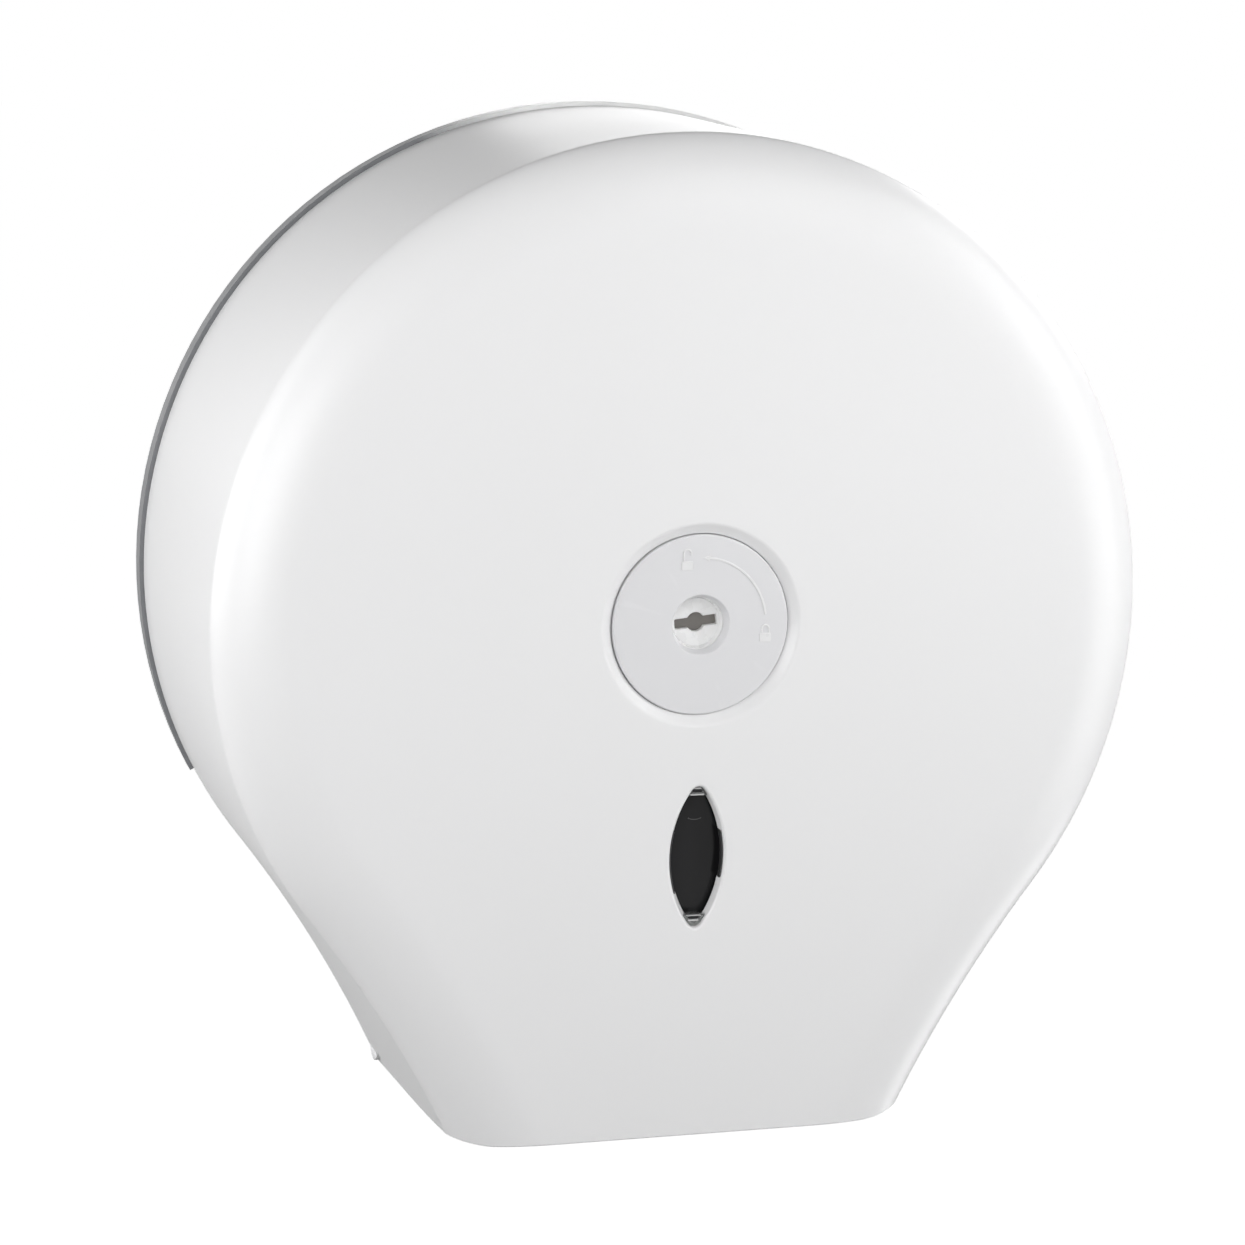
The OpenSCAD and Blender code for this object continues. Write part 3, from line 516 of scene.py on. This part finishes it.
# ---------------------------------------------------------------- outlines and raised signs
def offset_loop(loop, by):
    """A closed 2-D outline (anticlockwise) moved outwards, and its outward directions."""
    out, n = [], len(loop)
    for i in range(n):
        (x0, y0), (x1, y1), (x2, y2) = loop[i - 1], loop[i], loop[(i + 1) % n]
        a, b = math.hypot(x1 - x0, y1 - y0) or 1e-9, math.hypot(x2 - x1, y2 - y1) or 1e-9
        n0, n1 = ((y1 - y0) / a, (x0 - x1) / a), ((y2 - y1) / b, (x1 - x2) / b)
        nx, ny = n0[0] + n1[0], n0[1] + n1[1]
        m = max(nx * nx + ny * ny, 0.8)
        nx, ny = 2 * nx / m, 2 * ny / m
        h = math.hypot(nx, ny) or 1
        out.append((x1 + nx * by, y1 + ny * by, nx / h, ny / h))
    return out


def raised(skin, loop, foot, top, soft=0.1, mat=0):
    """A raised shape with a softened upper edge on a face that looks to the front."""
    rows = [row_at(offset_loop(loop, 0), foot, 1, 0)]
    for a in (math.pi / 6 * i for i in range(4)):
        rows.append(row_at(offset_loop(loop, -soft * (1 - math.cos(a))),
                           top - soft + soft * math.sin(a), math.cos(a), math.sin(a)))
    skin.grid(rows, closed=True, mat=mat)
    skin.fill([points(rows[-1])], FRONT, mat=mat)


def arc_strip(r, w, a0, a1, steps, centre=(0, 0)):
    """Outline of a strip of width w along an arc from a0 to a1 degrees."""
    outer, inner = ([(x, z) for x, z, _ in
                     arc(*centre, r + half, math.radians(a0), math.radians(a1), steps)]
                    for half in (w / 2, -w / 2))
    return outer + inner[::-1]


def round_box(x0, y0, x1, y1, r, steps=4):
    """Outline of a box with rounded corners, anticlockwise."""
    pts = []
    for i, (cx, cy) in enumerate(((x1 - r, y0 + r), (x1 - r, y1 - r),
                                  (x0 + r, y1 - r), (x0 + r, y0 + r))):
        start = math.pi / 2 * (i - 1)
        pts += [(x, y) for x, y, _ in arc(cx, cy, r, start, start + math.pi / 2, steps)]
    return pts


def stadium(w, h, centre_z):
    """Upright outline with round ends, anticlockwise."""
    s = (h - w) / 2
    return [(x, z) for c, a0 in ((s, 0), (-s, math.pi))
            for x, z, _ in arc(0, centre_z + c, w / 2, a0, a0 + math.pi, 24)]


# ---------------------------------------------------------------- lock
DISC_R, DISC_FRONT, DISC_REAR, SEAT_FRONT = 24.9, 121.0, 115.35, 118.0
BOWL_R, THROAT_R = 8.2, 7.25
POST_R, POST_RING, PILOT_R, POST_REAR = 3.0, 19.0, 1.3, 115.3
SIGN_R = 18.5                           # radius of the arrow and distance of the lower lock


def padlock(skin, px, pz, lift, leg, foot, top):
    """A padlock whose body's upper edge is centred on (px, pz). The bow starts lift
    above it, and its right leg is leg long."""
    raised(skin, round_box(px - 1.6, pz - 2.4, px + 1.6, pz, 0.25), foot, top, mat=1)
    raised(skin, arc_strip(1.025, 0.45, 0, 180, 14, (px, pz + lift)), foot, top, mat=1)
    for x, low in ((px - 1.25, pz - 0.4), (px + 0.8, pz + lift - leg)):
        raised(skin, [(x, low), (x + 0.45, low), (x + 0.45, pz + lift + 0.02),
                      (x, pz + lift + 0.02)], foot, top, mat=1)


def make_disc(mat, mark_mat):
    sk = Skin()
    edge, soft = 0.5, 0.5               # rounding of the disc's edge and of the bowl's rim
    profile = [(DISC_R, DISC_REAR, 0), (DISC_R, DISC_FRONT - edge, 0)]
    profile += arc(DISC_R - edge, DISC_FRONT - edge, edge, 0, math.pi / 2, 4)
    # the bowl: a soft upper rim, then the cone down to the throat
    fall = math.atan2(DISC_FRONT - SEAT_FRONT, BOWL_R - THROAT_R)
    profile += arc(BOWL_R + soft * math.tan(fall / 2), DISC_FRONT - soft, soft,
                   math.pi / 2, math.pi / 2 + fall, 7)
    profile += [(THROAT_R, SEAT_FRONT, math.pi / 2 + fall)]
    lathe(sk, profile, steps=128)
    lathe(sk, [(THROAT_R, SEAT_FRONT, -math.pi / 2), (DISC_R, SEAT_FRONT, -math.pi / 2)],
          steps=128)
    # posts that the lock's housing is screwed to
    for a in (30, 150, 270):
        centre = [POST_RING * f(math.radians(a)) for f in (math.cos, math.sin)]
        lathe(sk, [(POST_R, SEAT_FRONT, 0), (POST_R, POST_REAR, 0),
                   (PILOT_R, POST_REAR, -math.pi / 2)], centre, steps=24)
    # signs: a quarter-turn arrow between two padlocks
    foot, top, arrow_end = DISC_FRONT - 0.3, DISC_FRONT + 0.25, 84
    raised(sk, arc_strip(SIGN_R, 0.6, 8, arrow_end, 48), foot, top, mat=1)
    c, s = (f(math.radians(arrow_end)) for f in (math.cos, math.sin))
    tip = [(SIGN_R - 0.9, -0.1), (SIGN_R + 0.9, -0.1), (SIGN_R, 1.9)]
    raised(sk, [(x * c - y * s, x * s + y * c) for x, y in tip], foot, top, mat=1)
    padlock(sk, -4.4, 17.6, 2.2, 0.6, foot, top)            # open
    padlock(sk, SIGN_R, -2.6, 1.2, 1.2, foot, top)          # closed
    return sk.build("lock_disc", [mat, mark_mat])


BARREL_R, BARREL_BORE, FLOOR_R = 9.0, 6.5, 6.65
BARREL_FRONT, BARREL_FLOOR, BARREL_REAR = 117.8, 116.2, 104.5
BORE_END = BARREL_FRONT - 3.4           # where the plunger's bore ends behind the face
KEY_TURN = math.radians(6.5)


def keyhole_loop(grow=0.0):
    """A round hole with a slot to each side, anticlockwise, grown by a distance:
    (x, z, normal x, normal z)."""
    r, reach, half, corner = 2.65, 6.05, 1.4, 0.4
    join = math.asin(half / r)
    upper = arc(0, 0, r, join, math.pi - join, 12)
    for z, a0 in ((half - corner, math.pi / 2), (corner - half, math.pi)):
        upper += arc(corner - reach, z, corner, a0, a0 + math.pi / 2, 4)
    pts = [(x, z) for x, z, _ in upper]
    pts += [(-x, -z) for x, z in pts]
    c, s = math.cos(KEY_TURN), math.sin(KEY_TURN)
    return offset_loop([(x * c - z * s, x * s + z * c) for x, z in pts], grow)


def make_barrel(mat):
    sk = Skin()
    steps, chamfer = 72, 0.3
    for profile in (
            [(BARREL_BORE + 0.1, BARREL_REAR, -math.pi / 2),
             (BARREL_R, BARREL_REAR, -math.pi / 2)],
            [(BARREL_R, BARREL_REAR, 0), (BARREL_R, BARREL_FRONT - chamfer, 0),
             (BARREL_R - 0.1, BARREL_FRONT - 0.1, math.pi / 4),
             (BARREL_R - chamfer, BARREL_FRONT, math.pi / 2)],
            [(BARREL_BORE, BARREL_REAR, math.pi), (BARREL_BORE, BORE_END, math.pi)],
            # recess in the front, down to the floor with the key's slot
            [(BARREL_R - chamfer, BARREL_FRONT, math.pi / 2), (7.2, BARREL_FRONT, math.pi / 2),
             (7.12, BARREL_FRONT - 0.03, 2.2), (7.08, BARREL_FRONT - 0.12, 2.85),
             (FLOOR_R, BARREL_FLOOR, 2.85)]):
        lathe(sk, profile, steps=steps)
    slot_rim = 0.3
    sk.fill([level(circle(FLOOR_R, steps), BARREL_FLOOR),
             level(keyhole_loop(slot_rim), BARREL_FLOOR)], FRONT)
    rows = rounded_rim(keyhole_loop, BARREL_FLOOR, slot_rim, 4)
    rows.append(row_at(keyhole_loop(), BORE_END, -1, 0))
    sk.grid(rows, closed=True)
    sk.fill([level(circle(BARREL_BORE, steps), BORE_END), level(keyhole_loop(), BORE_END)], BACK)
    return sk.build("lock_barrel_face", mat)


def make_spring(mat, turns=3.5, per_turn=32, sides=12, wire=0.45):
    """The lock's coil, laid in the box of its CAD node."""
    lo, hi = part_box("lock_spring")
    r = (hi[2] - lo[2]) / MM / 2 - wire
    low, high = -hi[1] / MM + wire, -lo[1] / MM - wire
    steps = int(turns * per_turn)
    sk, rows = Skin(), []
    for i in range(steps + 1):
        turn = 2 * math.pi * i / per_turn
        c, s, d = math.cos(turn), math.sin(turn), low + (high - low) * i / steps
        rows.append([(at((r + wire * math.cos(a)) * c, (r + wire * math.cos(a)) * s,
                         d + wire * math.sin(a)),
                      Vector((math.cos(a) * c, -math.sin(a), math.cos(a) * s)))
                     for a in around(sides)])
    sk.grid(rows, closed=True)
    for row, i, way in ((rows[0], 0, -1), (rows[-1], steps, 1)):
        turn = 2 * math.pi * i / per_turn
        sk.fill([points(row)], Vector((-math.sin(turn), 0, math.cos(turn))) * way)
    return sk.build("lock_coil", mat)


# ---------------------------------------------------------------- window
LENS_FRONT, LENS_REAR, PANE_FRONT, PANE_REAR = 119.4, 117.9, 117.3, 115.5
FLANGE_W, FLANGE_H, FLANGE_Z = 23.7, 52.0, -65.0
PANE_SHRINK, CUP_SHRINK = -0.8, -1.1    # the pane and its cup are larger than the opening


def make_window(mat, mark_mat, painted_light_wall_mat):
    sk = Skin()
    flange = stadium(FLANGE_W, FLANGE_H, FLANGE_Z)
    rows = [row_at(offset_loop(flange, off), d, 1, fore) for off, d, fore in
            ((0, LENS_FRONT, 0), (0, LENS_REAR + 0.25, 0), (-0.07, LENS_REAR + 0.07, -1),
             (-0.25, LENS_REAR, -2))]
    sk.grid(rows, closed=True)
    centres = [LEAF_Z + side * STUD_OUT for side in (-1, 1)]
    holes = [circle(1.35, 20, (0, z)) for z in centres]
    for ring, d, shrink, n in ((rows[-1], LENS_REAR, CUP_SHRINK, BACK),
                               (rows[0], LENS_FRONT, PANE_SHRINK, FRONT)):
        sk.fill([points(ring)] + [level(hole, d) for hole in holes]
                + [level(leaf_outline(shrink), d)], n)
    for hole, centre in zip(holes, centres):
        sk.grid([[(at(x, z, d), Vector((-x, 0, centre - z))) for x, z in hole]
                 for d in (LENS_REAR, LENS_FRONT)], closed=True)
    # the cup behind the opening, with the dark pane as its floor
    cup = [row_at(leaf_outline(shrink), d, out, fore) for shrink, d, out, fore in
           ((CUP_SHRINK, LENS_REAR, 1, 0), (CUP_SHRINK, PANE_REAR + 0.3, 1, 0),
            (CUP_SHRINK + 0.1, PANE_REAR + 0.08, 1, -1), (PANE_SHRINK, PANE_REAR, 0, -1))]
    sk.grid(cup, closed=True)
    sk.fill([points(cup[-1])], BACK)
    # the pane's edge wall, in a grey lighter than the pane: painted light that makes up for the
    # shade it lies in
    sk.grid([row_at(leaf_outline(PANE_SHRINK), d, -1, 0) for d in (LENS_FRONT, PANE_FRONT)],
            closed=True, mat=2)
    sk.fill([level(leaf_outline(PANE_SHRINK), PANE_FRONT)], FRONT)
    # its raised edges, which show between the two collars, in the wall's lighter grey: painted
    # light
    for side, notch in ((-1, NOTCH_LEFT), (1, NOTCH_LOW)):
        lining = []
        for shrink, way in ((0.06, 1), (0.5, -1)):
            r = LEAF_R - shrink
            low, high = (math.asin((z - LEAF_Z) / r) for z in (notch + 0.1, NOTCH_TOP - 0.1))
            lining += [(LEAF_X + side * x, LEAF_Z + z)
                       for x, z, _ in arc(-LEAF_C, 0, r, low, high, 20)][::way]
        raised(sk, lining[::side], LENS_FRONT - 0.2, 121.1, 0.12, mat=2)
    # a fine arc moulded in the pane; its grey, lighter than the pane, is a painted highlight
    # along it
    raised(sk, arc_strip(4.3, 0.28, 244, 296, 16, (LEAF_X + 0.3, -51.0)),
           PANE_FRONT - 0.1, PANE_FRONT + 0.15, 0.06, mat=1)
    return sk.build("window_lens", [mat, mark_mat, painted_light_wall_mat])


def make_clips(mat, painted_glint_mat, painted_shade_mat):
    """Clear plugs in the leaf's two tips, each with two pale bars that are painted glints and a
    dark slot that is painted shade.
    """
    sk = Skin()
    low, high, mid_x = 117.4, 120.9, LEAF_X - 0.25
    # height of the plug's end, its way, and for each bar the start, end and half width
    for limit, up, bars in ((-47.6, 1, ((0.05, 0.45, 2.0), (0.95, 1.65, 1.4), (1.9, 2.2, 1.1))),
                            (-81.5, -1, ((0.1, 0.32, 2.1), (0.65, 1.1, 1.5), (1.3, 1.8, 1.5)))):
        raised(sk, [(x, z) for x, z, _, _ in leaf_end(0.1, limit)], low, high, 0.6)
        # the pale bars are painted glints, and the dark middle bar is painted shade
        for (z0, z1, half), rise, part in zip(bars, (0.35, 0.25, 0.3), (1, 2, 1)):
            za, zb = sorted((limit + up * z0, limit + up * z1))
            raised(sk, round_box(mid_x - half, za, mid_x + half, zb, min(0.2, (zb - za) / 2.2)),
                   high - 0.3, high + rise, 0.1, mat=part)
    return sk.build("window_clips", [mat, painted_glint_mat, painted_shade_mat])


# ---------------------------------------------------------------- materials
class Nodes:
    """A material's node tree, laid out in the object's own coordinates, in metres."""

    def __init__(self, name):
        self.mat = bpy.data.materials.new(name)
        self.mat.use_nodes = True
        self.tree = self.mat.node_tree
        self.bsdf = self.tree.nodes["Principled BSDF"]
        self.coords = self.add("ShaderNodeTexCoord").outputs["Object"]

    def add(self, kind, **props):
        n = self.tree.nodes.new(kind)
        for k, v in props.items():
            setattr(n, k, v)
        return n

    def link(self, a, b):
        self.tree.links.new(a, b)

    def noise(self, scale, detail, rough=0.5, stretch=None):
        n = self.add("ShaderNodeTexNoise")
        n.inputs["Scale"].default_value = scale
        n.inputs["Detail"].default_value = detail
        n.inputs["Roughness"].default_value = rough
        src = self.coords
        if stretch:
            m = self.add("ShaderNodeMapping")
            m.inputs["Scale"].default_value = stretch
            self.link(src, m.inputs["Vector"])
            src = m.outputs["Vector"]
        self.link(src, n.inputs["Vector"])
        return n.outputs["Fac"]

    def span(self, value, lo, hi, a=0.0, b=1.0):
        """Maps lo..hi to a..b and stays within them."""
        n = self.add("ShaderNodeMapRange")
        n.inputs["From Min"].default_value, n.inputs["From Max"].default_value = lo, hi
        n.inputs["To Min"].default_value, n.inputs["To Max"].default_value = a, b
        self.link(value, n.inputs["Value"])
        return n.outputs["Result"]

    def mix(self, fac, a, b):
        n = self.add("ShaderNodeMix", data_type="RGBA")
        for sock, v in ((n.inputs[0], fac), (n.inputs[6], a), (n.inputs[7], b)):
            if isinstance(v, bpy.types.NodeSocket):
                self.link(v, sock)
            elif isinstance(v, (int, float)):
                sock.default_value = v
            else:
                sock.default_value = (*v, 1.0)
        return n.outputs[2]

    def math(self, op, a, b):
        n = self.add("ShaderNodeMath", operation=op)
        for sock, v in zip(n.inputs, (a, b)):
            if isinstance(v, bpy.types.NodeSocket):
                self.link(v, sock)
            else:
                sock.default_value = v
        return n.outputs[0]

    def bump(self, height, strength, distance, round_mm=0.0):
        n = self.add("ShaderNodeBump")
        if round_mm:
            soft = self.add("ShaderNodeBevel", samples=4)
            soft.inputs["Radius"].default_value = round_mm * MM
            self.link(soft.outputs["Normal"], n.inputs["Normal"])
        n.inputs["Strength"].default_value = strength
        n.inputs["Distance"].default_value = distance
        self.link(height, n.inputs["Height"])
        return n.outputs["Normal"]


def shade(colour, by):
    return tuple(max(0.0, min(1.0, c * by)) for c in colour)


def painted_top_light(m, base):
    """Painted light on the wall plate's rim (r past 131 mm) where it lies uppermost: a pale
    colour, broken up by noise, that stands in for light falling from above.
    """
    place = m.add("ShaderNodeSeparateXYZ")
    m.link(m.coords, place.inputs[0])
    x, z = place.outputs["X"], place.outputs["Z"]
    height = m.math("ADD", z, m.math("MULTIPLY", x, 0.15))      # higher up on the right
    r = m.math("POWER", m.math("ADD", m.math("MULTIPLY", x, x), m.math("MULTIPLY", z, z)), 0.5)
    top = m.math("MULTIPLY", m.span(height, 0.116, 0.131), m.span(r, 0.1312, 0.1322))
    thin = m.math("MULTIPLY", m.span(m.noise(60, 3), 0.3, 0.6, 0.85, 1.0), top)
    return m.mix(thin, base, (0.92, 0.92, 0.915))


def plastic(name, colour, rough, grain=2600.0, bump=0.04, spread=0.02, worn=1.06, wear=0.5,
            uneven=0.15, waves=1.0, soft_edge=0.35, scuffs=150.0, specular=0.5, paint_top_light=False):
    """Moulded plastic. spread: how far its colour varies; worn, wear: how much lighter
    rubbed edges are, and how much of them; uneven, scuffs: how far its roughness varies,
    and how finely; grain, waves: scale of the fine grain and height of the soft waves
    under it; soft_edge: width in mm of the edges that are shaded round."""
    m = Nodes(name)
    flow = m.noise(14, 2)
    grainy = m.noise(grain, 2, 0.6)
    base = m.mix(m.span(flow, 0.3, 0.7), shade(colour, 1 - spread), shade(colour, 1 + spread))
    edge = m.add("ShaderNodeNewGeometry").outputs["Pointiness"]
    rub = m.math("MULTIPLY", m.span(edge, 0.51, 0.56), m.span(m.noise(180, 4), 0.42, 0.62))
    base = m.mix(m.math("MULTIPLY", rub, wear), base, shade(colour, worn))
    # painted light: the plate's rim is made pale where it lies uppermost
    if paint_top_light:
        base = painted_top_light(m, base)
    m.link(base, m.bsdf.inputs["Base Color"])
    scuff = m.span(m.noise(scuffs, 4, 0.6), 0.35, 0.75, rough * (1 - uneven),
                   rough * (1 + uneven))
    m.link(m.math("ADD", scuff, m.math("MULTIPLY", rub, 0.06)), m.bsdf.inputs["Roughness"])
    relief = m.math("ADD", m.math("MULTIPLY", grainy, 0.25),
                    m.math("MULTIPLY", m.noise(45, 2), waves))
    m.link(m.bump(relief, bump, 0.001, soft_edge), m.bsdf.inputs["Normal"])
    m.bsdf.inputs["Specular IOR Level"].default_value = specular
    return m.mat


def clear(name):
    """Clear plastic with a little haze."""
    m = Nodes(name)
    haze = m.noise(120, 2)
    m.link(m.mix(m.span(haze, 0.35, 0.7), (0.80, 0.81, 0.80), (0.62, 0.63, 0.62)),
           m.bsdf.inputs["Base Color"])
    m.link(m.span(haze, 0.3, 0.7, 0.04, 0.10), m.bsdf.inputs["Roughness"])
    m.link(m.bump(m.noise(90, 1), 0.05, 0.0005), m.bsdf.inputs["Normal"])
    m.bsdf.inputs["Transmission Weight"].default_value = 0.85
    m.bsdf.inputs["IOR"].default_value = 1.49
    return m.mat


def metal(name, colour, rough, stretch=(1.0, 1.0, 14.0)):
    """Drawn or brushed metal; stretch sets the way and the length of its fine lines."""
    m = Nodes(name)
    lines = m.noise(240.0, 5, 0.7, stretch)
    tarnish = m.noise(55, 3)
    base = m.mix(m.span(tarnish, 0.35, 0.75), shade(colour, 1.05), shade(colour, 0.84))
    m.link(base, m.bsdf.inputs["Base Color"])
    m.bsdf.inputs["Metallic"].default_value = 1.0
    m.link(m.span(lines, 0.3, 0.7, rough * 0.75, rough * 1.35), m.bsdf.inputs["Roughness"])
    m.link(m.bump(lines, 0.12, 0.0004, 0.15), m.bsdf.inputs["Normal"])
    return m.mat


GREY = (0.20, 0.205, 0.215)
INNER = dict(waves=0.35, uneven=0.08, spread=0.015, scuffs=60.0)    # parts behind the cover
FINE = dict(bump=0.01, soft_edge=0.0)                               # small parts in front
M_COVER = plastic("cover_plastic_finish", (0.82, 0.82, 0.825), 0.34, grain=900.0, bump=0.002,
                  spread=0.004, worn=1.01, wear=0.3, uneven=0.02, waves=0.3, soft_edge=0.0,
                  scuffs=30.0)
M_GREY = plastic("grey_plastic_finish", GREY, 0.36, worn=1.2, wear=0.35, **INNER)
# the back plate's rim has painted light where it lies uppermost
M_PLATE = plastic("back_plate_finish", GREY, 0.36, worn=1.2, wear=0.35, paint_top_light=True, **INNER)
M_WHITE = plastic("white_plastic_finish", (0.74, 0.74, 0.73), 0.28, bump=0.02, waves=0.35,
                  uneven=0.06, spread=0.01, scuffs=60.0)
M_LIGHT = plastic("light_plastic_finish", (0.52, 0.52, 0.53), 0.32, bump=0.02, worn=1.1,
                  **INNER)
M_DISC = plastic("disc_plastic_finish", (0.72, 0.72, 0.735), 0.32, spread=0.008,
                 uneven=0.06, waves=0.3, **FINE)
M_MARK = plastic("disc_sign_finish", (0.78, 0.78, 0.785), 0.30, spread=0.01, **FINE)
M_BARREL = plastic("barrel_plastic_finish", (0.88, 0.88, 0.88), 0.28, spread=0.01, **FINE)
# the plunger's dark plastic, made darker still: painted shade inside the keyhole
M_DARK = plastic("dark_plastic_and_painted_shade", (0.19, 0.178, 0.165), 0.38, bump=0.05, worn=1.2)
M_LENS = plastic("smoked_window_finish", (0.014, 0.014, 0.015), 0.16, bump=0.006, spread=0.05,
                 worn=1.5, soft_edge=0.0, specular=0.16)
# the pane's arc in a lighter grey: a painted highlight
M_ARC_PAINTED_HIGHLIGHT = plastic("window_arc_painted_highlight", (0.06, 0.06, 0.06), 0.25, **FINE)
# window walls in a grey lighter than the lens: painted light that makes up for their shade
M_WALL_PAINTED_LIGHT = plastic("window_wall_painted_light", (0.04, 0.04, 0.041), 0.30, **FINE)
# pale grey bars on the clear plugs: painted glints
M_PAINTED_GLINT = plastic("plug_painted_glint", (0.50, 0.50, 0.50), 0.20, **FINE)
M_CLEAR = clear("clear_plastic_finish")
M_STEEL = metal("steel_finish", (0.62, 0.62, 0.61), 0.30)
M_SPRING = metal("spring_steel_finish", (0.45, 0.45, 0.44), 0.24)
M_BRIGHT = metal("bright_steel_finish", (0.72, 0.72, 0.71), 0.20, (14.0, 1.0, 1.0))

SLOTS = {"cover_plastic": M_COVER, "grey_plastic": M_GREY, "white_plastic": M_WHITE,
         "light_plastic": M_LIGHT, "disc_plastic": M_DISC, "dark_plastic": M_DARK,
         "smoked_window": M_LENS, "steel": M_STEEL, "spring_steel": M_SPRING,
         "bright_steel": M_BRIGHT}
NODE_SLOT = {
    "back_plate": "grey_plastic", "spindle": "grey_plastic", "lock_cam": "grey_plastic",
    "spindle_cap": "white_plastic", "roll_sleeve": "white_plastic",
    "core_adapter": "light_plastic", "lock_housing": "white_plastic",
    "lock_shaft": "white_plastic", "lock_plunger": "dark_plastic",
    "lock_spring": "spring_steel", "catch_clip": "spring_steel",
    "tear_bar_left": "bright_steel", "tear_bar_right": "bright_steel"}
for node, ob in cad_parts.items():
    for s in ob.material_slots:
        s.material = M_PLATE if node == "back_plate" else SLOTS[NODE_SLOT.get(node, "steel")]

# ---------------------------------------------------------------- pieces
cover = make_cover(M_COVER)
disc = make_disc(M_DISC, M_MARK)
barrel = make_barrel(M_BARREL)
lens = make_window(M_LENS, M_ARC_PAINTED_HIGHLIGHT, M_WALL_PAINTED_LIGHT)
clips = make_clips(M_CLEAR, M_PAINTED_GLINT, M_LENS)
coil = make_spring(M_SPRING)
for piece, body, node, slot in ((cover, "cover", "front_cover", "cover_plastic"),
                                (disc, "cover", "lock_face_disc", "disc_plastic"),
                                (barrel, "lock", "lock_barrel", "white_plastic"),
                                (lens, "cover", "view_window", "smoked_window"),
                                (clips, "cover", "view_window", "smoked_window"),
                                (coil, "lock", "lock_spring", "spring_steel")):
    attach(piece, body)
    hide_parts(node)
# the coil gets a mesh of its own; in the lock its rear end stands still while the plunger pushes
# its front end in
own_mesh(coil)


# ---------------------------------------------------------------- stage and light
FLOOR_Z, FLOOR_SIZE = -0.9, 40.0        # metres; the dispenser hangs well above it


def seen_only(tree):
    """1 for what the camera sees and 0 for light that bounces."""
    return tree.nodes.new("ShaderNodeLightPath").outputs["Is Camera Ray"]


def floor():
    """A pale floor that the camera sees as evenly lit paper."""
    me = bpy.data.meshes.new("floor")
    bm = bmesh.new()
    bmesh.ops.create_grid(bm, x_segments=24, y_segments=24, size=FLOOR_SIZE,
                          matrix=Matrix.Translation((0, 0, FLOOR_Z)))
    bm.to_mesh(me)
    bm.free()
    ob = bpy.data.objects.new("floor", me)
    SCENE.collection.objects.link(ob)
    m = Nodes("floor_paper")
    m.link(m.mix(m.span(m.noise(3, 2), 0.3, 0.7), (0.50, 0.50, 0.50), (0.53, 0.53, 0.53)),
           m.bsdf.inputs["Base Color"])
    m.bsdf.inputs["Roughness"].default_value = 0.9
    glow = m.add("ShaderNodeEmission")
    m.link(seen_only(m.tree), glow.inputs["Strength"])
    both = m.add("ShaderNodeAddShader")
    m.link(m.bsdf.outputs[0], both.inputs[0])
    m.link(glow.outputs[0], both.inputs[1])
    m.link(both.outputs[0], m.tree.nodes["Material Output"].inputs["Surface"])
    me.materials.append(m.mat)


def white_backdrop():
    """A white room behind the object that gives no light of its own."""
    world = bpy.data.worlds.new("studio")
    SCENE.world = world
    world.use_nodes = True
    background = world.node_tree.nodes["Background"]
    background.inputs["Color"].default_value = (1, 1, 1, 1)
    world.node_tree.links.new(seen_only(world.node_tree), background.inputs["Strength"])


def area(name, az, el, dist, size, power, aim=(0, -0.06, 0)):
    """A soft box that faces aim from dist metres away; size in metres, power in watts."""
    data = bpy.data.lights.new(name, "AREA")
    data.shape, data.energy = "RECTANGLE", power
    data.size, data.size_y = size
    ob = bpy.data.objects.new(name, data)
    SCENE.collection.objects.link(ob)
    az, el = math.radians(az), math.radians(el)
    d = Vector((math.sin(az) * math.cos(el), -math.cos(az) * math.cos(el), math.sin(el)))
    ob.location = Vector(aim) + d * dist
    ob.rotation_euler = d.to_track_quat("Z", "Y").to_euler()
    ob.visible_camera = False


floor()
white_backdrop()
# first the far soft boxes, then the near ones that face the drum's front
for name, az, el, power in (("right_behind", 110, 30, 6.57), ("right_floor", 90, -40, 2.49),
                            ("right_low", 60, -15, 2.25), ("front_low", 20, -15, 0.94)):
    area(name, az, el, 1.25, (0.5, 0.5), power)
for name, az, el, power in (
        ("left_behind", -100, 0, 1.08), ("left_low", -75, 0, 1.51), ("left_high", -75, 22, 0.78),
        ("front_left", -40, 0, 2.13), ("front_mid", 25, 0, 0.55), ("front_right", 25, 22, 0.86),
        ("right_mid", 60, 0, 1.22), ("right_high", 60, 22, 1.50)):
    area(name, az, el, 0.72, (0.35, 0.35), power, (0, -0.1, 0.09))
# glow of the backdrop, which the cover's side reflects
area("backdrop", 180, 0, 1.5, (3.0, 2.0), 11.2)
area("backdrop_high", 180, 14, 1.5, (3.0, 0.8), 2.43)
area("backdrop_right", 155, 12, 1.5, (0.9, 0.7), 3.96)
